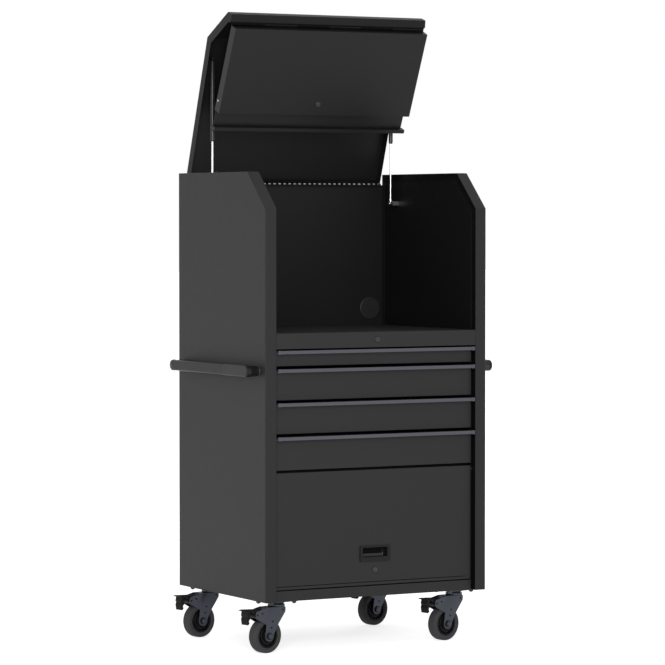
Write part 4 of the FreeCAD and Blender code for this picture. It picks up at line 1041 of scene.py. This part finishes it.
@dataclass
class PushBar:
    """A side push bar on two round posts, drawn on the right and mirrored for the left."""

    places: Places
    side: Side
    front_inset: float = 46.0
    rear_inset: float = 32.0
    post_radius: float = 15.6
    elbow: Tuple[Point2, ...] = (
        (-17.0, 0.0), (-15.0, 1.2), (-9.0, 1.4), (-4.5, 0.2), (-1.6, -3.4), (-0.4, -8.0))
    foot: Tuple[Point2, ...] = ((0.0, 1.2), (1.6, 1.2), (2.4, 0.0))
    dome_gap: float = 0.2
    socket_half: float = 17.0
    socket_length: float = 138.0236
    socket_thick: float = 15.0
    grip_half: float = 15.5
    grip_thick: float = 13.0
    grip_overlap: float = 30.0
    grip_inset: float = 8.0
    rear_corner: float = 4.0
    post_edge: float = 0.6
    socket_edge: float = 5.0
    grip_edge: float = 5.2
    panel_x: float = field(init=False)
    tip: float = field(init=False)
    height: float = field(init=False)
    front_y: float = field(init=False)
    rear_y: float = field(init=False)

    def __post_init__(self) -> None:
        """Reads where it stands from its side panel, and its reach and height from its plain solid."""
        low, high = self.places.box("right_side_panel")
        bar_low, bar_high = self.places.box("side_handles")
        self.panel_x = high.x
        self.tip = bar_high.x
        self.height = (bar_low.z + bar_high.z) / 2.0
        self.front_y = low.y + self.front_inset
        self.rear_y = high.y - self.rear_inset

    def build(self) -> None:
        """Makes the posts with their elbows, the socket and the grip."""
        posts = Form()
        for y in (self.front_y, self.rear_y):
            self._post(posts, y)
        centre = self.tip - self.socket_thick / 2.0
        socket_end = self.front_y + self.socket_length
        socket = Form().prism(self._stadium(self.front_y, socket_end, self.socket_half), Axis.X,
                              centre - self.socket_thick / 2.0, self.tip)
        sleeve = self._stadium(socket_end - self.grip_overlap, self.rear_y - self.grip_inset, self.grip_half)
        grip = Form().prism(sleeve, Axis.X, centre - self.grip_thick / 2.0, centre + self.grip_thick / 2.0)
        for form, kind, finish, bevel in ((posts, "posts", FINISHES.post, self.post_edge),
                                          (socket, "socket", FINISHES.plastic, self.socket_edge),
                                          (grip, "grip", FINISHES.grip, self.grip_edge)):
            if self.side is Side.LEFT:
                form.mirrored()
            name = f"push_bar_{self.side.name.lower()}_{kind}"
            form.piece(name, finish, "cabinet", bevel, ("side_handles",))

    def _post(self, form: Form, y: float) -> None:
        """One post: a foot ring on the panel, a waisted shaft and a domed elbow.

        Args:
            form: The form that it joins.
            y: Where it stands along the panel.
        """
        profile = [(self.panel_x, 0.0)]
        profile += [(self.panel_x + out, self.post_radius + more) for out, more in self.foot]
        profile += [(self.tip + out, self.post_radius + more) for out, more in self.elbow]
        profile += [(self.tip - self.dome_gap, 0.0)]
        form.lathe(profile, Axis.X, (y, self.height), Facets.ROUND, False)

    def _stadium(self, start: float, end: float, half: float) -> List[Point2]:
        """The bar's outline on the side: round at the front, squarer at the rear.

        Args:
            start: The centre of its front end.
            end: Its rear end.
            half: Half its height.

        Returns:
            The outline in Y and Z.
        """
        rear = self.rear_corner
        outline = ring(half, HALF_ROUND_STEPS, (start, self.height), 90.0, 180.0)
        outline += ring(rear, CORNER_STEPS, (end - rear, self.height - half + rear), 270.0, 90.0)
        outline += ring(rear, CORNER_STEPS, (end - rear, self.height + half - rear), 0.0, 90.0)
        return outline


@dataclass
class KeyLock:
    """A round key lock's fixed barrel, set on the axis that its plug turns about."""

    places: Places
    name: str
    body: str
    radius: float = 9.0
    play: float = 0.1
    rim: Point2 = (1.0, 1.2)
    plug_radius: float = 6.05
    proud: float = 2.2
    depth: float = 22.0
    edge: float = 0.15

    def build(self) -> None:
        """Makes the barrel with its chamfered rim."""
        rim_depth, rim_width = self.rim
        outer = self.radius - self.play
        profile = ((-self.proud, self.plug_radius), (-self.proud, self.radius - rim_width),
                   (-self.proud + rim_depth, outer), (self.depth, outer), (self.depth, self.plug_radius))
        axis = self.places.axis(f"{self.name}_turn")
        lean = Matrix.Rotation(math.atan2(axis.z, axis.y), 4, "X")
        form = Form().lathe(profile, Axis.Y, (0.0, 0.0))
        form.moved(Matrix.Translation(self.places.pivot(f"{self.name}_turn")) @ lean)
        node = f"{self.name}_housing"
        form.piece(f"{node}_fine", FINISHES.barrel, self.body, self.edge, (node,))


@dataclass
class GasStrut:
    """A gas strut, drawn upright on its wall stud and leaned to the lid stud."""

    places: Places
    side: Side
    length: float = 429.346
    eye_radius: float = 6.0
    eye_bore: float = 3.1
    eye_half: float = 4.5
    eye_chamfer: float = 0.8
    neck: Tuple[Point2, ...] = ((4.0, 4.6), (8.0, 4.8), (15.0, 4.8), (16.5, 4.2), (16.5, 0.0))
    rod_start: float = 10.0
    rod_overlap: float = 20.0
    rod_radius: float = 2.95
    rod_play: float = 0.1
    tube_radius: float = 6.5
    tube_length: float = 241.0
    gland: Tuple[Point2, ...] = ((0.0, 1.6), (1.0, 1.0), (4.0, 0.9), (4.6, 0.0))
    crimp: Tuple[Point2, ...] = ((4.0, 0.0), (1.5, 0.7), (0.3, 2.2))
    tube_floor: float = 8.0

    def build(self) -> None:
        """Makes the rod and the tube with their end fittings."""
        top = self.length - self.eye_radius
        low = top - self.tube_length
        rod = self._eye(0.0)
        rod.lathe(self.neck, Axis.Z, (0.0, 0.0), Facets.BOLT, False)
        rod.lathe(((self.rod_start, self.rod_radius), (low + self.rod_overlap, self.rod_radius)), Axis.Z,
                  (0.0, 0.0), Facets.EYE, False)
        self._set(rod, "rod", FINISHES.chrome)
        inside = self.rod_radius + self.rod_play
        profile = [(low, inside)]
        profile += [(low + up, self.tube_radius - less) for up, less in self.gland]
        profile += [(top - down, self.tube_radius - less) for down, less in self.crimp]
        floor = top - self.tube_floor
        profile += [(top - self.crimp[-1][0], 0.0), (floor, 0.0), (floor, inside)]
        tube = self._eye(self.length).lathe(profile, Axis.Z, (0.0, 0.0), Facets.TUBE, False)
        self._set(tube, "tube", FINISHES.tube)

    def _eye(self, height: float) -> Form:
        """An end fitting: a short cross barrel with a chamfer at each end.

        Args:
            height: Where its pin is.

        Returns:
            A new form that holds it.
        """
        half, radius, chamfer = self.eye_half, self.eye_radius, self.eye_chamfer
        profile = both_sides(((-half, self.eye_bore), (-half, radius - chamfer), (-half + chamfer, radius)))
        return Form().lathe(profile, Axis.X, (0.0, height), Facets.EYE)

    def _set(self, form: Form, kind: str, finish: Finish) -> None:
        """Leans a piece along the way that the strut slides and sets it on the wall stud.

        Args:
            form: The piece, drawn upright.
            kind: Rod or tube.
            finish: Its finish.
        """
        down = self.places.axis("strut_right_slide")
        lean = Matrix.Rotation(math.atan2(down.y, -down.z), 4, "X")
        form.moved(Matrix.Translation(self.places.pivot("strut_right_swing")) @ lean)
        if self.side is Side.LEFT:
            form.mirrored()
        node = f"strut_{kind}_{self.side.name.lower()}"
        form.piece(f"{node}_fine", finish, node, 0.0, (node,))


@dataclass
class LongHinge:
    """The closely spaced knuckles of the lid's long hinge, bright zinc and near black in turn; the
    near-black ones are painted shade.
    """

    places: Places
    end_gap: float = 2.0
    pitch: float = 8.7
    length: float = 8.3
    radius: float = 3.32
    chamfer: float = 0.3

    def build(self) -> None:
        """Makes the fixed leaf's knuckles and the lid's, in turn along the pin."""
        pin = self.places.pivot("lid_hinge")
        half = self.places.box("lid_hinge_fixed_leaf")[1].x - self.end_gap
        count = int(2.0 * half / self.pitch)
        start = -self.pitch * (count - 1) / 2.0
        end = self.length / 2.0
        rim = self.radius - self.chamfer
        knuckle = both_sides(((-end, 0.0), (-end, rim), (-end + self.chamfer, self.radius)))
        # The cabinet's knuckles are zinc. The lid's knuckles take near-black steel, painted shade between
        # the bright dashes.
        for offset, body, finish in ((0, "cabinet", FINISHES.zinc), (1, "lid", FINISHES.shade)):
            form = Form()
            for step in range(offset, count, 2):
                middle = start + step * self.pitch
                form.lathe([(middle + along, radius) for along, radius in knuckle], Axis.X, pin.yz,
                           Facets.RIVET, False)
            form.piece(f"hinge_knuckles_{body}", finish, body)


@dataclass
class Paddle:
    """The latch paddle: a flap deep in the dish, near black as painted shade, a lit foot along its lower
    edge and a lug.

    Its outlines are in Y, away from the door's front face, and Z.
    """

    places: Places
    left: float = -42.2
    right: float = 40.0
    foot_end: float = 27.0
    foot_inset: float = 2.0
    drop: float = 22.2
    foot_height: float = 9.4
    foot_inward: float = 1.0
    toe: Point2 = (1.0, 1.2)
    heel: Point2 = (2.2, 4.0)
    heel_depth: float = 1.0
    shoulder: Point2 = (2.4, 2.0)
    tip: float = 0.6
    flap_depth: float = 11.0
    flap_sheet: float = 1.6
    flap_rise: float = 2.0
    boss: Tuple[Point2, ...] = ((1.5, 3.2), (-1.5, 3.2), (-2.6, 1.0), (-1.0, -2.6))
    flap_bend: Point2 = (1.0, 4.5)
    pin_radius: float = 2.0
    pin_reach: float = 1.4
    lug_over: float = 0.4
    lug_rise: float = 1.0
    lug_height: float = 3.4
    lug_chamfer: float = 1.6
    flap_edge: float = 0.2
    foot_edge: float = 0.3
    lug_edge: float = 0.4
    pivot: Vector = field(init=False)
    low: float = field(init=False)
    front: float = field(init=False)
    back: float = field(init=False)

    def __post_init__(self) -> None:
        """Reads its axis from its joint and its depth from the door's front face."""
        self.pivot = self.places.pivot("paddle_turn")
        face = self.places.box("lower_door_panel")[0].y
        self.low = self.pivot.z - self.drop
        self.front = face + self.foot_inward
        self.back = face + self.flap_depth

    def build(self) -> None:
        """Makes the flap, the foot and the lug."""
        # The flap's near-black finish is painted shade. Its depth in the dish gives real shade as well.
        self._set(self._flap(), "flap", FINISHES.rubber, self.flap_edge)
        self._set(self._foot(), "foot", FINISHES.front, self.foot_edge)
        self._set(self._lug(), "lug", FINISHES.caster, self.lug_edge)

    @staticmethod
    def _set(form: Form, kind: str, finish: Finish, bevel: float) -> None:
        """Makes a piece that rides on the paddle and stands for its lever."""
        form.piece(f"paddle_{kind}", finish, "paddle", bevel, ("paddle_lever",))

    def _flap(self) -> Form:
        """The flap with its boss, and the pin through them.

        Returns:
            The form.
        """
        under, over = self.flap_bend
        foot, sheet = self.low + self.flap_rise, self.back + self.flap_sheet
        outline = [(self.back, foot), (sheet, foot), (sheet, self.pivot.z - under)]
        outline += [(self.pivot.y + along, self.pivot.z + up) for along, up in self.boss]
        outline += [(self.back, self.pivot.z - over)]
        flap = Form().prism(outline, Axis.X, self.left, self.foot_end)
        start, end = self.left - self.pin_reach, self.right + self.pin_reach
        pin = ((start, 0.0), (start, self.pin_radius), (end, self.pin_radius), (end, 0.0))
        return flap.lathe(pin, Axis.X, self.pivot.yz, Facets.PIN, False)

    def _foot(self) -> Form:
        """The foot along the lower edge.

        Returns:
            The form.
        """
        top = self.low + self.foot_height
        toe_depth, toe_height = self.toe
        heel, (heel_low, heel_high) = self.back + self.heel_depth, self.heel
        depth, drop = self.shoulder
        outline = [(self.front, self.low + toe_height), (self.front + toe_depth, self.low),
                   (heel, self.low + heel_low), (heel, self.low + heel_high),
                   (self.front + depth, top - drop), (self.front + self.tip, top)]
        return Form().prism(outline, Axis.X, self.left, self.foot_end - self.foot_inset)

    def _lug(self) -> Form:
        """The upright lug at the foot's right end.

        Returns:
            The form.
        """
        top = self.low + self.foot_height + self.lug_height
        foot, near = self.low + self.lug_rise, self.front - self.lug_over
        outline = [(near, foot), (self.back, foot), (self.back, top), (near + self.lug_chamfer, top),
                   (near, top - self.lug_chamfer)]
        return Form().prism(outline, Axis.X, self.foot_end - self.foot_inset, self.foot_end + self.lug_over)


@dataclass
class HemShadowStrip:
    """A near-black strip in the groove along the lower door's edge: painted shadow of the gap that the
    folded hem leaves.
    """

    places: Places
    past_left: float = 2.0
    short_right: float = 22.0
    rise: float = 9.1
    half_height: float = 1.15
    corner: float = 0.5
    proud: float = 0.0764
    depth: float = 0.7

    def build(self) -> None:
        """Makes the painted-shadow strip."""
        low, high = self.places.box("lower_door_panel")
        left, right = low.x - self.past_left, high.x - self.short_right
        front = low.y - self.proud
        outline = rounded_box((right - left) / 2.0, self.half_height, self.corner)
        hem = Form().prism(outline, Axis.Y, front, front + self.depth)
        hem.moved(Matrix.Translation(((left + right) / 2.0, 0.0, low.z + self.rise)))
        hem.piece("lower_door_hem_gap", FINISHES.rubber, "lower_door")


@dataclass
class Grommet:
    """The round cable bush in the rear panel, closed by two rubber halves with a lip along the slit."""

    places: Places
    rim_radius: float = 34.0
    rim_chamfer: Point2 = (1.0, 1.5)
    rim_thick: float = 2.4
    neck_radius: float = 29.7
    neck_chamfer: float = 0.8
    inner_radius: float = 24.0
    halves: Tuple[Point2, ...] = ((0.0, 1.0), (180.0, 2.0))
    half_overlap: float = 0.4
    half_thick: float = 1.2
    lip_gap: float = 0.6
    lips: Tuple[Tuple[Point2, Point2], ...] = (((0.2, 1.2), (-0.5, 0.9)), ((1.3, 2.2), (-1.6, -0.3)))

    def build(self) -> None:
        """Makes the rim, the two halves and their lips."""
        low, high = self.places.box("cable_grommet")
        middle = (low + high) / 2.0
        front, back = low.y, high.y
        deep, wide = self.rim_chamfer
        profile = ((front, self.inner_radius), (front, self.rim_radius - wide),
                   (front + deep, self.rim_radius), (front + self.rim_thick, self.rim_radius),
                   (front + self.rim_thick, self.neck_radius), (back - self.neck_chamfer, self.neck_radius),
                   (back, self.neck_radius - self.neck_chamfer), (back, self.inner_radius))
        form = Form().lathe(profile, Axis.Y, (middle.x, middle.z), Facets.BUSH)
        reach = self.inner_radius + self.half_overlap
        for start, near in self.halves:
            half = ring(reach, HALF_ROUND_STEPS, (middle.x, middle.z), start, 180.0)
            form.prism(half, Axis.Y, front + near, front + near + self.half_thick)
        reach = self.inner_radius - self.lip_gap
        for (near, far), (under, over) in self.lips:
            form.block((middle.x - reach, front + near, middle.z + under),
                       (middle.x + reach, front + far, middle.z + over))
        form.piece("cable_grommet_fine", FINISHES.bush, "cabinet", 0.0, ("cable_grommet",))


@dataclass(frozen=True)
class Lamp:
    """A soft square lamp.

    Attributes:
        name: Its name.
        place: Where it hangs, in metres.
        target: What it faces, in metres.
        size: Its side in metres.
        power: Its power in watts.
    """

    name: str
    place: Point3
    target: Point3
    size: float
    power: float

    def hang(self) -> None:
        """Puts it into the scene."""
        data = bpy.data.lights.new(self.name, "AREA")
        data.shape = "SQUARE"
        data.size = self.size
        data.energy = self.power
        made = bpy.data.objects.new(self.name, data)
        made.location = self.place
        made.rotation_euler = (Vector(self.target) - Vector(self.place)).to_track_quat("-Z", "Y").to_euler()
        bpy.context.scene.collection.objects.link(made)


@dataclass
class Studio:
    """Floor, lamps, world and camera, in metres."""

    camera_place: Point3 = (-4.8221, -8.6257, 1.2529)
    camera_turn: float = -29.2641
    camera_dip: float = 1.9815
    lens: float = 179.44
    sensor: float = 36.0
    camera_reach: float = 100.0
    world_light: float = 0.42
    backdrop: float = 1.0
    key: Lamp = Lamp("key", (-2.4, -3.9, 1.8), (0.0, 0.0, 0.8), 2.0, 97.0)
    fill: Lamp = Lamp("fill", (3.2, 3.2, 2.2), (0.0, 0.0, 0.9), 2.4, 40.0)
    floor_corners: Tuple[Point3, ...] = ((-40.0, -40.0, 0.0), (40.0, -40.0, 0.0), (40.0, 60.0, 0.0),
                                         (-40.0, 60.0, 0.0))
    floor_colour: Tuple[float, float, float, float] = (0.9, 0.9, 0.9, 1.0)
    floor_rough: float = 0.9
    glow: Point2 = (0.72, 1.0)
    glow_stretch: Point3 = (0.8, 1.0, 1.0)
    glow_range: Point2 = (0.7, 2.2)

    def set_up(self) -> None:
        """Makes the whole studio."""
        self._camera()
        self._world()
        self._floor()
        self.key.hang()
        self.fill.hang()
        bpy.context.scene.view_settings.view_transform = "Standard"

    def _camera(self) -> None:
        """Stands the camera where the photograph was taken from."""
        data = bpy.data.cameras.new("camera")
        data.sensor_width = self.sensor
        data.lens = self.lens
        data.clip_end = self.camera_reach
        made = bpy.data.objects.new("camera", data)
        made.location = self.camera_place
        made.rotation_euler = (math.radians(90.0 - self.camera_dip), 0.0, math.radians(self.camera_turn))
        bpy.context.scene.collection.objects.link(made)
        bpy.context.scene.camera = made

    @staticmethod
    def _seen(bench: Bench) -> Sock:
        """One for rays that show the background: straight, mirrored or through glass."""
        path = bench.node("ShaderNodeLightPath")
        mirrored = bench.out(path, "Is Glossy Ray").most(bench.out(path, "Is Transmission Ray"))
        return bench.out(path, "Is Camera Ray").most(mirrored)

    def _world(self) -> None:
        """Lights the object evenly and shows white behind it."""
        world = bpy.data.worlds.new("studio")
        bpy.context.scene.world = world
        world.use_nodes = True
        bench = Bench(world.node_tree)
        lit, white = (bench.node("ShaderNodeBackground", {}, {"Color": WHITE, "Strength": strength})
                      for strength in (self.world_light, self.backdrop))
        mixed = bench.node("ShaderNodeMixShader", {}, {0: self._seen(bench), 1: bench.out(lit),
                                                       2: bench.out(white)})
        bench.node("ShaderNodeOutputWorld", {}, {"Surface": bench.out(mixed)})

    def _floor(self) -> None:
        """Lays a white floor that still takes a soft shadow."""
        floor = Form()
        floor.mesh.faces.new([floor.mesh.verts.new(spot) for spot in self.floor_corners])
        data = bpy.data.meshes.new("floor")
        floor.mesh.to_mesh(data)
        floor.mesh.free()
        data.materials.append(self._floor_material())
        made = bpy.data.objects.new("floor", data)
        bpy.context.scene.collection.objects.link(made)

    def _floor_material(self) -> bpy.types.Material:
        """The floor's white, which glows fully away from the trolley and less round its shadow.

        Returns:
            The material.
        """
        coat = bpy.data.materials.new("pale_floor")
        coat.use_nodes = True
        bench = Bench(coat.node_tree)
        spot = bench.place(self.glow_stretch)
        away = bench.node("ShaderNodeVectorMath", {"operation": "LENGTH"}, {0: spot})
        far = bench.node("ShaderNodeMapRange", {"interpolation_type": "SMOOTHSTEP"}, {
            "Value": bench.out(away, "Value"),
            "From Min": self.glow_range[0],
            "From Max": self.glow_range[1],
            "To Min": self.glow[0],
            "To Max": self.glow[1],
        })
        shader = bench.node("ShaderNodeBsdfPrincipled", {}, {
            "Base Color": self.floor_colour,
            "Emission Color": bench.blend(self._seen(bench) * bench.out(far), BLACK, WHITE),
        })
        shader.inputs["Roughness"].default_value = self.floor_rough
        shader.inputs["Specular IOR Level"].default_value = 0.0
        shader.inputs["Emission Strength"].default_value = 1.0
        bench.node("ShaderNodeOutputMaterial", {}, {"Surface": bench.out(shader)})
        return coat


def main() -> None:
    """Builds the dressed trolley in order."""
    logging.basicConfig(level=logging.INFO)
    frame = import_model()
    places = Places({joint["name"]: joint for joint in frame["joints"]})
    Cabinet().dress(frame["nodes"])
    for end in ("front", "rear"):
        for side in Side:
            Caster(places, f"caster_{end}_{side.name.lower()}").build()
    for side in Side:
        PushBar(places, side).build()
        GasStrut(places, side).build()
    KeyLock(places, "fascia_lock", "cabinet").build()
    KeyLock(places, "lower_lock", "lower_door").build()
    KeyLock(places, "lid_door_lock", "lid_door").build()
    Grommet(places).build()
    LongHinge(places).build()
    Paddle(places).build()
    HemShadowStrip(places).build()
    Studio().set_up()


if __name__ == "__main__":
    main()
